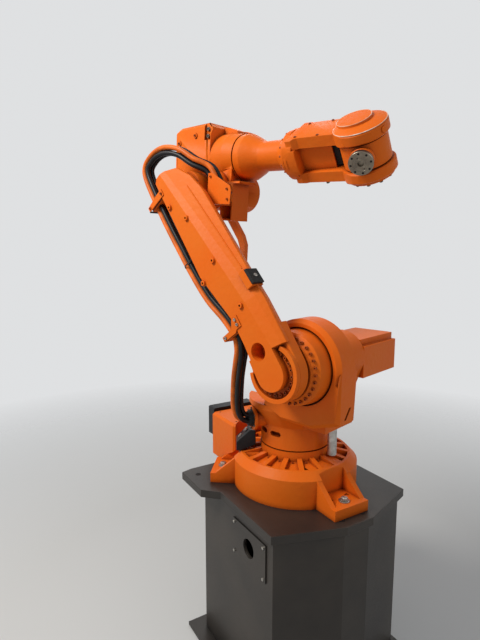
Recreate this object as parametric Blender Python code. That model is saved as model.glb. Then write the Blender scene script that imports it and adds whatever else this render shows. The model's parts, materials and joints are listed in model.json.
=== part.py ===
"""Six-axis floor robot with a parallel rod on a steel plinth.

Metres, +Z up. The origin is on the floor under axis 1, +X is the base's front, +Y its left.
The arm stands in its rest pose: turret turned left, lower arm leaning back, forearm nearly level.
"""
import math

import bmesh
import bpy
from mathutils import Matrix, Vector

for item in list(bpy.data.objects):
    bpy.data.objects.remove(item, do_unlink=True)

# Seams and running gaps
SEAM = 0.0003
RUN = 0.006
CUT = 0.02

# Rest pose, degrees
TURRET_TURN = 15.0
LOWER_LEAN = 36.0
UPPER_PITCH = 4.0
WRIST_ROLL = 36.0
WRIST_TILT = 70.0

# Axis layout
PLINTH_HEIGHT = 0.92
SHOULDER_HEIGHT = 0.68
SHOULDER_FORWARD = 0.20
LOWER_LENGTH = 1.01
FOREARM_LIFT = 0.165
FOREARM_LENGTH = 0.785
FOREARM_SIDE = -0.08
FLANGE_REACH = 0.14
LEVER_LENGTH = 0.25

# Plinth
PLATE_THICK = 0.04
PLATE_REAR = -0.385
PLATE_EAR = 0.478
PLATE_EAR_FRONT = -0.141
PLATE_WAIST = -0.068
PLATE_HALF = 0.405
PLATE_SHOULDER = 0.375
PLATE_NOSE = 0.487
PLATE_NOSE_HALF = 0.078
PLATE_CORNER = 0.06
BODY_INSET = 0.022
BODY_REAR = -0.285
BODY_WALL = 0.012
FLOOR_PLATE_THICK = 0.02
FLOOR_PLATE_MARGIN = 0.075
PANEL_REAR = 0.03
PANEL_FRONT = 0.31
PANEL_TOP = -0.085
PANEL_BOTTOM = -0.265
PANEL_THICK = 0.006
CABLE_HOLE_X = 0.17
CABLE_HOLE_Z = -0.175
CABLE_HOLE_R = 0.045

# Base casting
DRUM_R = 0.318
DRUM_WALL = 0.137
DRUM_CHAMFER = 0.036
DRUM_LIP = 0.012
COWL_DROP = 0.026
COWL_R = 0.178
COWL_TOP = 0.218
COWL_FACE = 0.172
VANE_COUNT = 18
VANE_WIDTH = 0.024
FOOT_REACH = 0.43
FOOT_HALF = 0.10
FOOT_THICK = 0.05
FOOT_WALL = 0.026
FOOT_POCKET = 0.285
FOOT_BOLT_R = 0.378
REAR_FOOT_ANGLE = 128.5
BOLT_R = 0.017
BOLT_HEAD = 0.015
WASHER_R = 0.026
WASHER_THICK = 0.004

# Connector housing
PORT_REAR = -0.475
PORT_RIGHT = -0.24
PORT_LEFT = 0.15
PORT_FOOT = 0.012
PORT_TOP = 0.268
PORT_FRONT = -0.22
PORT_BEVEL = 0.012
PLUG_REAR = -0.56
PLUG_RIGHT = -0.225
PLUG_LEFT = 0.05
PLUG_FOOT = 0.12
PLUG_TOP = 0.285
PLUG_BEVEL = 0.006

# Axis 1 stop
STOP_ANGLE = -120.0
STOP_INNER = 0.205
STOP_OUTER = 0.305
STOP_HALF = 0.045
STOP_TOP = 0.283
PIN_REACH = 0.2395
PIN_ANGLE = -4.0
PIN_R = 0.022
PIN_FOOT = 0.212

# Turret
NECK_R = 0.175
NECK_TOP = 0.335
FLARE_R = 0.238
FLARE_TOP = 0.43
DECK_TOP = 0.455
DECK_R = 0.225
VALLEY_FLOOR = 0.405
SKIRT_FOOT = 0.348
SKIRT_KNEE = 0.268
SKIRT_RISE = 0.404
SKIRT_FRONT = 0.41
SKIRT_CORNER = 0.452
SKIRT_REAR = -0.02
SHELL_R = 0.212
SHELL_OUTER = -0.240
SHELL_INNER = -0.100
SHELL_EDGE = 0.018
GROOVE_R = 0.178
GROOVE_WIDE = 0.008
GROOVE_DEEP = 0.03
LEFT_WALL_INNER = 0.012
LEFT_WALL_OUTER = 0.112
LEFT_SHELL_R = 0.125
LEFT_FRONT = 0.24
LEFT_REAR = 0.06
HOOK_SLOT_HALF = 0.008
HOOK_SLOT_LOW = (-0.186, 0.468)
HOOK_SLOT_HIGH = (-0.148, 0.517)
NECK_HOLE_ANGLES = (-86.0, -115.0)
NECK_HOLE_Z = 0.296
NECK_HOLE_R = 0.013
NECK_HOLE_LONG = 0.018

# Axis 2 gear drum
GEAR_FACE = -0.336
GEAR_END_R = 0.134
GEAR_BARREL_R = 0.172
GEAR_SHOULDER = -0.305

# Motor covers
COVER3_REAR = 0.08
COVER3_FRONT = 0.32
COVER3_END = 0.43
COVER3_FOOT = 0.58
COVER3_STEP = 0.735
COVER3_TOP = 0.767
COVER3_STEP_IN = 0.022
MOTOR1_X = -0.12
MOTOR1_Y = 0.09
MOTOR1_HALF = 0.06
MOTOR1_TOP = 0.74
MOTOR1_BEVEL = 0.014

# Lower arm, in its own frame: x forward of the arm, z along it from axis 2
HUB_R = 0.130
HUB_FACE = -0.405
HUB_BACK = -0.342
HUB_SPIGOT_R = 0.118
HUB_SHOULDER_X = -0.109
HUB_SHOULDER_Z = 0.094
BEAM_BACK = -0.360
BEAM_DRAFT = 0.014
ARM_FACE = -0.442
ARM_START = 0.078
ARM_FRONT = 0.136
ARM_FRONT_BELLY = 0.126
ARM_BELLY_Z = 0.42
ARM_FRONT_HIGH = 0.098
ARM_REAR = -0.126
ARM_WAIST = -0.062
ARM_WAIST_FOOT = 0.17
ARM_WAIST_TOP = 0.29
ARM_SHOULDER = 0.56
ARM_HEAD = 0.135
ARM_HEAD_FRONT = 0.022
ARM_HEAD_REAR = -0.10
HAT_BASE = -0.392
HAT_SLOPE = 0.008
TONGUE_R = 0.075
EYE_X = 0.0
EYE_Z = 0.107
EYE_R = 0.040
EYE_DEEP = 0.07
PAD_FOOT = 0.362
PAD_TOP = 0.435
PAD_NEAR = -0.436
PAD_FAR = -0.368
PAD_THICK = 0.014
PAD_SEAT_EDGE = 0.004

# Elbow
ELBOW_R = 0.074
HOUSE_RIGHT = -0.205
HOUSE_LEFT = 0.045

# Upper arm housing, in its own frame: x forward, z up, origin on axis 3
HOUSE_REAR = -0.32
HOUSE_FRONT = -0.035
HOUSE_TOP = 0.325
HOUSE_TOP_FRONT = 0.333
HOUSE_SLOPE_X = -0.275
HOUSE_REAR_TOP = 0.305
HOUSE_FOOT = -0.035
HOUSE_REAR_FOOT = 0.05
HOUSE_HUB_R = 0.10
BARREL_R = 0.1235
BARREL_START = 0.045
BARREL_END_R = 0.116
BARREL_FRONT = 0.112
CORNER_RECESS = 0.012
CORNER_RECESS_LONG = 0.042
CORNER_RECESS_HIGH = 0.085
SIDE_BOSS_R = 0.013
SIDE_BOSS_HIGH = 0.006
SIDE_BOSSES = ((-0.275, 0.245), (-0.145, 0.275), (-0.285, 0.10))
LUG_R = 0.044
SIDE_EDGE = 0.016
BIN_REAR = 0.055
BIN_FRONT = 0.185
BIN_FOOT = -0.165
BIN_TOP = 0.04
BIN_RIGHT = -0.20
BIN_LEFT = -0.085
HOSE_PLATE_THICK = 0.005
HOSE_PLATE_Y = -0.332
HOSE_PLATE_REAR = 0.096
HOSE_PLATE_FRONT = 0.238
HOSE_PLATE_TOP = 0.062
HOSE_PLATE_STEP = -0.028
HOSE_PLATE_FOOT = -0.078
HOSE_ARM_HALF = 0.016
REAR_COVER_THICK = 0.012
REAR_COVER_MARGIN = 0.03

# Forearm tube
SEAM_GAP = 0.005
COLLAR_R = 0.113
COLLAR_END = 0.155
TUBE_START = 0.235
TUBE_R = 0.070
TUBE_END = 0.37
TUBE_FLANGE_R = 0.098
TUBE_FLANGE_X = 0.428

# Wrist fork, x along the forearm, z along axis 5
FORK_ROOT = 0.455
FORK_BASE_R = 0.104
TINE_IN = 0.058
TINE_OUT = 0.106
TINE_R = 0.112
TINE_NECK_HALF = 0.086
WEB_START_HALF = 0.078
WEB_END = 0.622
WEB_END_HALF = 0.010
CAP_R = 0.062
CAP_HIGH = 0.026
CAP_BACK = 0.02
LOWER_COVER_R = 0.098
LOWER_COVER_THICK = 0.012
TILT_R = 0.099
TILT_HALF = 0.052
TILT_NECK_R = 0.046
TILT_NECK_END = 0.120
TOOL_R = 0.050
TOOL_THICK = 0.017

# Parallel arm and rod
LEVER_RIGHT = -0.034
LEVER_LEFT = 0.004
LEVER_HUB_R = 0.095
LEVER_END_R = 0.044
ROD_HALF = 0.014
ROD_LOW_Y = -0.056
ROD_HIGH_Y = 0.078
ROD_EYE_R = 0.041
ROD_WIDE = 0.022
ROD_BEND_START = 0.43
ROD_BEND_END = 0.70
PIVOT_R = 0.024
PIVOT_PLAY = 0.0005
PIVOT_HEAD_R = 0.034
PIVOT_HEAD = 0.006
PIVOT_CAP = 0.012
PIVOT_END = 0.0035
SPIGOT_R = 0.07

# Hoses
HOSE_R = 0.0125
PAINTED_R = 0.011
HOSE_PITCH = 0.014
BLACK_PLACES = ((-HOSE_PITCH, -HOSE_PITCH), (HOSE_PITCH, -HOSE_PITCH), (-HOSE_PITCH, HOSE_PITCH))
PAINTED_PLACE = (HOSE_PITCH, HOSE_PITCH)
CLAMP_LOW_Z = 0.236
CLAMP_LOW_REACH = 0.084
CLAMP_HIGH_Z = LOWER_LENGTH + 0.028
CLAMP_HIGH_REACH = 0.106
CLAMP_THICK = 0.023
CLAMP_NEAR = -0.43
CLAMP_FAR = -0.362
GLAND_HALF = 0.034
GLAND_LONG = 0.040
ENTRY_ANGLE = -117.0
ENTRY_R = 0.046
ENTRY_REACH = 0.235
ENTRY_Z = 0.36


def material(name, color, rough, metal):
    mat = bpy.data.materials.new(name)
    mat.use_nodes = True
    shader = mat.node_tree.nodes["Principled BSDF"]
    shader.inputs["Base Color"].default_value = (*color, 1.0)
    shader.inputs["Roughness"].default_value = rough
    shader.inputs["Metallic"].default_value = metal
    return mat


ORANGE = (0.86, 0.20, 0.03)
DARK = (0.035, 0.032, 0.03)
BLACK = (0.015, 0.015, 0.016)
STEEL = (0.42, 0.41, 0.38)
GREY = (0.25, 0.23, 0.2)


def empty(name, parent=None, at=(0, 0, 0), turn=(0, 0, 0)):
    mark = bpy.data.objects.new(name, None)
    bpy.context.scene.collection.objects.link(mark)
    mark.parent = parent
    mark.location = at
    mark.rotation_euler = [math.radians(v) for v in turn]
    return mark


def finish_mesh(name, bm, parent, color, rough=0.45, metal=0.0, smooth=True):
    bmesh.ops.recalc_face_normals(bm, faces=bm.faces[:])
    mesh = bpy.data.meshes.new(name)
    bm.to_mesh(mesh)
    bm.free()
    if smooth:
        mesh.shade_smooth()
        mesh.set_sharp_from_angle(angle=math.radians(32))
    obj = bpy.data.objects.new(name, mesh)
    bpy.context.scene.collection.objects.link(obj)
    obj.parent = parent
    mesh.materials.append(material(name + "_mat", color, rough, metal))
    return obj


def loft(bm, rings, closed=False):
    """Skin equal rings of points into one solid; closed joins the last ring to the first."""
    rows = [[bm.verts.new(p) for p in ring] for ring in rings]
    count = len(rows[0])
    pairs = list(zip(rows[:-1], rows[1:]))
    if closed:
        pairs.append((rows[-1], rows[0]))
    for low, high in pairs:
        for i in range(count):
            j = (i + 1) % count
            bm.faces.new((low[i], low[j], high[j], high[i]))
    if not closed:
        bm.faces.new(rows[0][::-1])
        bm.faces.new(rows[-1])


def place(u, v, w, plane):
    if plane == "XY":
        return (u, v, w)
    if plane == "XZ":
        return (u, w, v)
    return (w, u, v)


def circle(r, count, u=0.0, v=0.0, start=0.0):
    step = 2 * math.pi / count
    return [(u + r * math.cos(start + i * step), v + r * math.sin(start + i * step)) for i in range(count)]


def arc(u, v, r, start, end, count):
    out = []
    for i in range(count + 1):
        t = math.radians(start + (end - start) * i / count)
        out.append((u + r * math.cos(t), v + r * math.sin(t)))
    return out


def offset(outline, d):
    """Move each corner of a closed outline inward by d along its mitre."""
    area = 0.0
    for (x0, y0), (x1, y1) in zip(outline, outline[1:] + outline[:1]):
        area += x0 * y1 - x1 * y0
    side = 1.0 if area > 0 else -1.0
    out = []
    for i, (x, y) in enumerate(outline):
        a = Vector((x - outline[i - 1][0], y - outline[i - 1][1])).normalized()
        nxt = outline[(i + 1) % len(outline)]
        b = Vector((nxt[0] - x, nxt[1] - y)).normalized()
        na = Vector((-a.y, a.x)) * side
        nb = Vector((-b.y, b.x)) * side
        mitre = na + nb
        scale = 2.0 / max(mitre.length_squared, 0.5)
        out.append((x + mitre.x * scale * d, y + mitre.y * scale * d))
    return out


def link_outline(r0, r1, length, count=14):
    """Tangent outline round a circle at the origin and one at (0, length)."""
    lean = math.degrees(math.asin((r0 - r1) / length))
    top = arc(0, length, r1, lean, 180 - lean, count)
    low = arc(0, 0, r0, 180 - lean, 360 + lean, count * 2)
    return top + low


def add_prism(bm, outline, start, end, plane, bevel=0.0, bevel_end=None):
    last = bevel if bevel_end is None else bevel_end
    rings = []
    if bevel:
        rings.append([place(u, v, start, plane) for u, v in offset(outline, bevel)])
    rings.append([place(u, v, start + bevel, plane) for u, v in outline])
    rings.append([place(u, v, end - last, plane) for u, v in outline])
    if last:
        rings.append([place(u, v, end, plane) for u, v in offset(outline, last)])
    loft(bm, rings)


def add_turned(bm, profile, count, axis, center=(0, 0, 0), closed=False, start=0.0):
    """Turn (radius, height) pairs about an axis through center."""
    rings = []
    for r, t in profile:
        ring = []
        for u, v in circle(r, count, start=start):
            if axis == "Z":
                p = (u, v, t)
            elif axis == "Y":
                p = (v, t, u)
            else:
                p = (t, u, v)
            ring.append((p[0] + center[0], p[1] + center[1], p[2] + center[2]))
        rings.append(ring)
    loft(bm, rings, closed)


def add_box(bm, low, high, bevel=0.0):
    outline = [(low[0], low[1]), (high[0], low[1]), (high[0], high[1]), (low[0], high[1])]
    if bevel:
        outline = corner_cut(outline, bevel)
    add_prism(bm, outline, low[2], high[2], "XY", bevel)


def corner_cut(outline, cut):
    """Replace each corner of an outline by a short chamfer."""
    out = []
    for i, p in enumerate(outline):
        here = Vector(p)
        back = (Vector(outline[i - 1]) - here).normalized() * cut
        ahead = (Vector(outline[(i + 1) % len(outline)]) - here).normalized() * cut
        out.append(tuple(here + back))
        out.append(tuple(here + ahead))
    return out


def tool(name, parent, build):
    """A hidden body that a Boolean modifier joins or cuts."""
    bm = bmesh.new()
    build(bm)
    bmesh.ops.recalc_face_normals(bm, faces=bm.faces[:])
    mesh = bpy.data.meshes.new(name)
    bm.to_mesh(mesh)
    bm.free()
    obj = bpy.data.objects.new(name, mesh)
    bpy.context.scene.collection.objects.link(obj)
    obj.parent = parent
    obj.hide_render = True
    obj.display_type = "WIRE"
    return obj


def boolean(target, operand, kind):
    mod = target.modifiers.new(kind.lower() + "_" + operand.name, "BOOLEAN")
    mod.operation = kind
    mod.solver = "EXACT"
    mod.object = operand


def part(name, parent, build, color, rough=0.45, metal=0.0, joins=(), cuts=()):
    bm = bmesh.new()
    build(bm)
    obj = finish_mesh(name, bm, parent, color, rough, metal)
    for i, shape in enumerate(joins):
        boolean(obj, tool(f"{name}_join_{i}", parent, shape), "UNION")
    for i, shape in enumerate(cuts):
        boolean(obj, tool(f"{name}_cut_{i}", parent, shape), "DIFFERENCE")
    return obj


def turned_about(bm, build, axis, angle, center=(0, 0, 0)):
    """Build into bm, then turn what was added about an axis through center."""
    before = set(bm.verts)
    build(bm)
    fresh = [v for v in bm.verts if v not in before]
    turn = Matrix.Rotation(math.radians(angle), 3, axis)
    bmesh.ops.rotate(bm, cent=center, matrix=turn, verts=fresh)


base_ref = empty("base_ref", at=(0, 0, PLINTH_HEIGHT))
turret_ref = empty("turret_ref", base_ref, turn=(0, 0, TURRET_TURN))
shoulder_ref = empty("shoulder_ref", turret_ref, (SHOULDER_FORWARD, 0, SHOULDER_HEIGHT), (0, -LOWER_LEAN, 0))
elbow_ref = empty("elbow_ref", shoulder_ref, (0, 0, LOWER_LENGTH), (0, LOWER_LEAN + UPPER_PITCH, 0))
roll_ref = empty("roll_ref", elbow_ref, (0, FOREARM_SIDE, FOREARM_LIFT), (WRIST_ROLL, 0, 0))
tilt_ref = empty("tilt_ref", roll_ref, (FOREARM_LENGTH, 0, 0), (0, 0, -WRIST_TILT))
lever_ref = empty("lever_ref", turret_ref, (SHOULDER_FORWARD, 0, SHOULDER_HEIGHT), (0, UPPER_PITCH, 0))
rod_ref = empty("rod_ref", lever_ref, (-LEVER_LENGTH, 0, 0), (0, -LOWER_LEAN - UPPER_PITCH, 0))

# Plinth
plate_outline = [
    (PLATE_REAR, -PLATE_EAR + PLATE_CORNER), (PLATE_REAR + PLATE_CORNER / 4, -PLATE_EAR),
    (PLATE_EAR_FRONT, -PLATE_EAR), (PLATE_WAIST, -PLATE_HALF), (PLATE_SHOULDER, -PLATE_HALF),
    (PLATE_NOSE, -PLATE_NOSE_HALF), (PLATE_NOSE, PLATE_NOSE_HALF), (PLATE_SHOULDER, PLATE_HALF),
    (PLATE_WAIST, PLATE_HALF), (PLATE_EAR_FRONT, PLATE_EAR),
    (PLATE_REAR + PLATE_CORNER / 4, PLATE_EAR), (PLATE_REAR, PLATE_EAR - PLATE_CORNER),
]
body_outline = offset([
    (BODY_REAR - BODY_INSET, -PLATE_HALF), (PLATE_SHOULDER, -PLATE_HALF), (PLATE_NOSE, -PLATE_NOSE_HALF),
    (PLATE_NOSE, PLATE_NOSE_HALF), (PLATE_SHOULDER, PLATE_HALF), (BODY_REAR - BODY_INSET, PLATE_HALF),
], BODY_INSET)
PANEL_FACE = -PLATE_HALF + BODY_INSET


def plinth_plate(bm):
    add_prism(bm, plate_outline, -PLATE_THICK, -SEAM, "XY", SEAM * 5)


def plinth_walls(bm):
    low = FLOOR_PLATE_THICK - PLINTH_HEIGHT + SEAM
    high = -PLATE_THICK - SEAM
    inner = offset(body_outline, BODY_WALL)
    rings = [
        [(u, v, low) for u, v in body_outline], [(u, v, high) for u, v in body_outline],
        [(u, v, high) for u, v in inner], [(u, v, low) for u, v in inner],
    ]
    loft(bm, rings, closed=True)


def cable_hole(bm):
    add_turned(bm, [(CABLE_HOLE_R, PANEL_FACE - CUT), (CABLE_HOLE_R, PANEL_FACE + CUT)], 28, "Y",
               (CABLE_HOLE_X, 0, CABLE_HOLE_Z))


def panel(bm):
    add_box(bm, (PANEL_REAR, PANEL_FACE - SEAM - PANEL_THICK, PANEL_BOTTOM), (PANEL_FRONT, PANEL_FACE - SEAM, PANEL_TOP))


def floor_plate(bm):
    add_prism(bm, offset(body_outline, -FLOOR_PLATE_MARGIN), -PLINTH_HEIGHT, FLOOR_PLATE_THICK - PLINTH_HEIGHT, "XY")


part("plinth_top_plate", base_ref, plinth_plate, DARK, 0.55, 0.6)
part("plinth_body", base_ref, plinth_walls, DARK, 0.55, 0.5, cuts=(cable_hole,))
part("plinth_cable_panel", base_ref, panel, DARK, 0.5, 0.5, cuts=(cable_hole,))
part("plinth_floor_plate", base_ref, floor_plate, DARK, 0.55, 0.5)

# Base casting
VANE_FACE = DRUM_R - DRUM_CHAMFER
VANE_FLOOR = DRUM_WALL + DRUM_CHAMFER - COWL_DROP
CHAMFER_TOP = DRUM_WALL + DRUM_CHAMFER


def drum(bm):
    add_turned(bm, [
        (DRUM_R, 0), (DRUM_R, DRUM_WALL), (VANE_FACE, CHAMFER_TOP), (VANE_FACE - DRUM_LIP, CHAMFER_TOP),
        (VANE_FACE - DRUM_LIP, VANE_FLOOR), (COWL_R, COWL_FACE), (COWL_R, COWL_TOP),
    ], 64, "Z")


def vane(bm):
    inner = COWL_R - DRUM_LIP
    outer = VANE_FACE - DRUM_LIP / 2
    outline = [(inner, VANE_FLOOR - DRUM_LIP), (outer, VANE_FLOOR - DRUM_LIP), (outer, CHAMFER_TOP - SEAM * 4),
               (inner, COWL_TOP - COWL_DROP)]
    add_prism(bm, outline, -VANE_WIDTH / 2, VANE_WIDTH / 2, "XZ")


def vanes(bm):
    for i in range(VANE_COUNT):
        turned_about(bm, vane, "Z", (i + 0.5) * 360 / VANE_COUNT)


def foot(bm, grow=0.0):
    top = CHAMFER_TOP - DRUM_LIP / 3
    outline = [(COWL_R, 0), (FOOT_REACH, 0), (FOOT_REACH, FOOT_THICK), (FOOT_REACH - FOOT_WALL, FOOT_THICK),
               (DRUM_R - DRUM_CHAMFER * 1.5, top), (COWL_R, top)]
    add_prism(bm, offset(outline, -grow), -FOOT_HALF - grow, FOOT_HALF + grow, "XZ")


def foot_pocket(bm):
    add_box(bm, (FOOT_POCKET, -FOOT_HALF + FOOT_WALL, FOOT_THICK), (FOOT_REACH + CUT, FOOT_HALF - FOOT_WALL, CHAMFER_TOP + CUT))


FOOT_ANGLES = (0.0, REAR_FOOT_ANGLE, -REAR_FOOT_ANGLE)


def feet(bm):
    for angle in FOOT_ANGLES:
        turned_about(bm, foot, "Z", angle)


def feet_clear(bm):
    for angle in FOOT_ANGLES[1:]:
        turned_about(bm, lambda b: foot(b, SEAM), "Z", angle)


def pockets(bm):
    for angle in FOOT_ANGLES:
        turned_about(bm, foot_pocket, "Z", angle)


part("base_casting", base_ref, drum, ORANGE, joins=(vanes, feet), cuts=(pockets,))


def bolt(bm):
    top = FOOT_THICK + SEAM + WASHER_THICK
    add_turned(bm, [(WASHER_R, FOOT_THICK + SEAM), (WASHER_R, top), (BOLT_R, top), (BOLT_R, top + BOLT_HEAD)], 18, "Z",
               (FOOT_BOLT_R, 0, 0))


for label, angle in (("front", 0.0), ("left", REAR_FOOT_ANGLE), ("right", -REAR_FOOT_ANGLE)):
    part("foot_bolt_" + label, base_ref, lambda bm, a=angle: turned_about(bm, bolt, "Z", a), STEEL, 0.35, 1.0)


def port_box(bm):
    add_box(bm, (PORT_REAR, PORT_RIGHT, PORT_FOOT), (PORT_FRONT, PORT_LEFT, PORT_TOP), PORT_BEVEL)


def drum_clear(bm):
    add_turned(bm, [(DRUM_R + SEAM, -CUT), (DRUM_R + SEAM, PORT_TOP + CUT)], 64, "Z")


part("connector_housing", base_ref, port_box, ORANGE, cuts=(drum_clear, feet_clear))


def plug_box(bm):
    add_box(bm, (PLUG_REAR, PLUG_RIGHT, PLUG_FOOT), (PORT_REAR - SEAM, PLUG_LEFT, PLUG_TOP), PLUG_BEVEL)


part("connector_block", base_ref, plug_box, BLACK, 0.5)


def stop_block(bm):
    seat = CHAMFER_TOP + SEAM
    outline = [(STOP_INNER, COWL_TOP - COWL_DROP / 2), (VANE_FACE, seat), (STOP_OUTER, seat), (STOP_OUTER, STOP_TOP),
               (STOP_INNER, STOP_TOP)]
    turned_about(bm, lambda b: add_prism(b, outline, -STOP_HALF, STOP_HALF, "XZ", PLUG_BEVEL / 2), "Z", STOP_ANGLE)


part("stop_block", base_ref, stop_block, BLACK, 0.4)

# Turret
NECK_FOOT = COWL_TOP + RUN


def neck(bm):
    add_turned(bm, [(SPIGOT_R * 2, COWL_TOP + SEAM), (SPIGOT_R * 2, NECK_FOOT), (NECK_R, NECK_FOOT), (NECK_R, NECK_TOP), (FLARE_R, FLARE_TOP), (FLARE_R, DECK_TOP)], 56, "Z")


def entry(bm):
    turned_about(bm, lambda b: add_turned(b, [(ENTRY_R, NECK_R - CUT), (ENTRY_R, ENTRY_REACH)], 28, "X", (0, 0, ENTRY_Z)),
                 "Z", ENTRY_ANGLE)


def right_shell(bm):
    front = arc(SHOULDER_FORWARD, SHOULDER_HEIGHT, SHELL_R, -20, 200, 40)
    outline = front + [(SKIRT_REAR, SKIRT_CORNER), (SKIRT_KNEE - NECK_R, SKIRT_RISE),
                       (SKIRT_KNEE, SKIRT_RISE), (SKIRT_FRONT, SKIRT_CORNER), (SKIRT_FRONT, SHOULDER_HEIGHT)]
    add_prism(bm, outline, SHELL_OUTER, SHELL_INNER, "XZ", SHELL_EDGE)


def centre_block(bm):
    outline = [(SKIRT_KNEE - FLARE_R, SKIRT_FOOT), (SKIRT_KNEE, SKIRT_FOOT), (SKIRT_KNEE, DECK_TOP),
               (SKIRT_KNEE - FLARE_R, DECK_TOP)]
    add_prism(bm, outline, SHELL_INNER - CUT, LEFT_WALL_OUTER, "XZ")


def left_wall(bm):
    outline = arc(SHOULDER_FORWARD, SHOULDER_HEIGHT, LEFT_SHELL_R, -10, 190, 26) + [
        (LEFT_REAR, DECK_TOP - CUT), (LEFT_FRONT, DECK_TOP - CUT)]
    add_prism(bm, outline, LEFT_WALL_INNER, LEFT_WALL_OUTER, "XZ")


def valley(bm):
    add_box(bm, (-FLARE_R - CUT, SHELL_INNER, VALLEY_FLOOR), (SHOULDER_FORWARD + LEVER_LENGTH / 2, LEFT_WALL_INNER, DECK_TOP + CUT))


def groove(bm):
    add_turned(bm, [
        (GROOVE_R - GROOVE_WIDE, SHELL_OUTER - CUT), (GROOVE_R, SHELL_OUTER - CUT),
        (GROOVE_R, SHELL_OUTER + GROOVE_DEEP), (GROOVE_R - GROOVE_WIDE, SHELL_OUTER + GROOVE_DEEP),
    ], 64, "Y", (SHOULDER_FORWARD, 0, SHOULDER_HEIGHT), closed=True)


def hook_slot(bm):
    (y0, z0), (y1, z1) = HOOK_SLOT_LOW, HOOK_SLOT_HIGH
    outline = [(y0 - HOOK_SLOT_HALF, z0), (y0 + HOOK_SLOT_HALF, z0), (y1 + HOOK_SLOT_HALF, z1), (y1 - HOOK_SLOT_HALF, z1)]
    add_prism(bm, outline, SKIRT_FRONT - GROOVE_DEEP, SKIRT_FRONT + CUT, "YZ")


def neck_hole(bm):
    outline = arc(NECK_HOLE_LONG, NECK_HOLE_Z, NECK_HOLE_R, -90, 90, 8) + arc(-NECK_HOLE_LONG, NECK_HOLE_Z, NECK_HOLE_R, 90, 270, 8)
    add_prism(bm, outline, NECK_R - GROOVE_DEEP, NECK_R + CUT, "YZ")


def neck_holes(bm):
    for angle in NECK_HOLE_ANGLES:
        turned_about(bm, neck_hole, "Z", angle)


part("turret_casting", turret_ref, neck, ORANGE, joins=(right_shell, centre_block, left_wall, entry),
     cuts=(valley, groove, hook_slot, neck_holes))


def gear_drum(bm):
    add_turned(bm, [
        (GROOVE_R - GROOVE_WIDE - SEAM, SHELL_OUTER - SEAM), (GEAR_BARREL_R - GROOVE_WIDE, GEAR_SHOULDER),
        (GEAR_END_R, GEAR_FACE + GROOVE_WIDE), (GEAR_END_R, GEAR_FACE),
    ], 64, "Y", (SHOULDER_FORWARD, 0, SHOULDER_HEIGHT))


part("axis2_gear_drum", turret_ref, gear_drum, ORANGE)


def stop_pin(bm):
    profile = [(PIN_R, PIN_FOOT), (PIN_R, SKIRT_FOOT - SEAM)]
    turned_about(bm, lambda b: add_turned(b, profile, 20, "Z", (PIN_REACH, 0, 0)), "Z", PIN_ANGLE)


part("stop_pin", turret_ref, stop_pin, STEEL, 0.4, 1.0)


def motor_cover(bm):
    outline = [(COVER3_REAR, COVER3_FOOT), (COVER3_FRONT, COVER3_FOOT), (COVER3_FRONT, COVER3_STEP),
               (COVER3_FRONT - COVER3_STEP_IN, COVER3_STEP), (COVER3_FRONT - COVER3_STEP_IN, COVER3_TOP),
               (COVER3_REAR, COVER3_TOP)]
    add_prism(bm, outline, LEFT_WALL_OUTER + SEAM, COVER3_END, "XZ")


part("axis3_motor_cover", turret_ref, motor_cover, ORANGE)


def motor1(bm):
    add_box(bm, (MOTOR1_X - MOTOR1_HALF, MOTOR1_Y - MOTOR1_HALF, DECK_TOP + SEAM),
            (MOTOR1_X + MOTOR1_HALF, MOTOR1_Y + MOTOR1_HALF, MOTOR1_TOP), MOTOR1_BEVEL)


part("axis1_motor", turret_ref, motor1, BLACK, 0.5)


# Lower arm
arm_outline = [
    (ARM_FRONT, ARM_START), (ARM_FRONT, ARM_WAIST_TOP), (ARM_FRONT_BELLY, ARM_BELLY_Z),
    (ARM_FRONT_HIGH, LOWER_LENGTH - CUT * 5), (ELBOW_R, LOWER_LENGTH), (ARM_HEAD_FRONT, LOWER_LENGTH + ARM_HEAD - CUT * 2),
    (-ARM_HEAD_FRONT * 2, LOWER_LENGTH + ARM_HEAD), (ARM_HEAD_REAR, LOWER_LENGTH + ARM_HEAD),
    (ARM_REAR, LOWER_LENGTH + ARM_HEAD - CUT), (ARM_REAR, ARM_SHOULDER), (ARM_WAIST, ARM_WAIST_TOP),
    (ARM_WAIST, ARM_WAIST_FOOT), (ARM_WAIST - HAT_SLOPE, ARM_START),
]


def hub(bm):
    outline = arc(0, 0, HUB_R, 180, 360, 32) + [(ARM_FRONT, ARM_WAIST_FOOT), (ARM_WAIST, ARM_WAIST_FOOT),
                                                (HUB_SHOULDER_X, HUB_SHOULDER_Z)]
    add_prism(bm, outline, HUB_FACE, HUB_BACK, "XZ", PLUG_BEVEL)


def beam(bm):
    loft(bm, [[(u, HUB_FACE, v) for u, v in arm_outline], [(u, BEAM_BACK, v) for u, v in offset(arm_outline, BEAM_DRAFT)]])


def hat(bm):
    loft(bm, [[(u, HAT_BASE, v) for u, v in arm_outline], [(u, HUB_FACE, v) for u, v in arm_outline],
              [(u, ARM_FACE, v) for u, v in offset(arm_outline, HAT_SLOPE)]])


def pad_line(z):
    """Front edge of the arm at height z, between its two low corners."""
    share = (z - ARM_WAIST_TOP) / (ARM_BELLY_Z - ARM_WAIST_TOP)
    return ARM_FRONT + (ARM_FRONT_BELLY - ARM_FRONT) * share


def pad_outline(low, high, start, end):
    return [(pad_line(low) + start, low), (pad_line(low) + end, low), (pad_line(high) + end, high),
            (pad_line(high) + start, high)]


def pad_seat(bm):
    outline = pad_outline(PAD_FOOT - PAD_SEAT_EDGE, PAD_TOP + PAD_SEAT_EDGE, -BEAM_DRAFT * 2, PAD_SEAT_EDGE / 2)
    add_prism(bm, outline, PAD_NEAR - PAD_SEAT_EDGE / 2, PAD_FAR + PAD_SEAT_EDGE / 2, "XZ")


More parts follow.
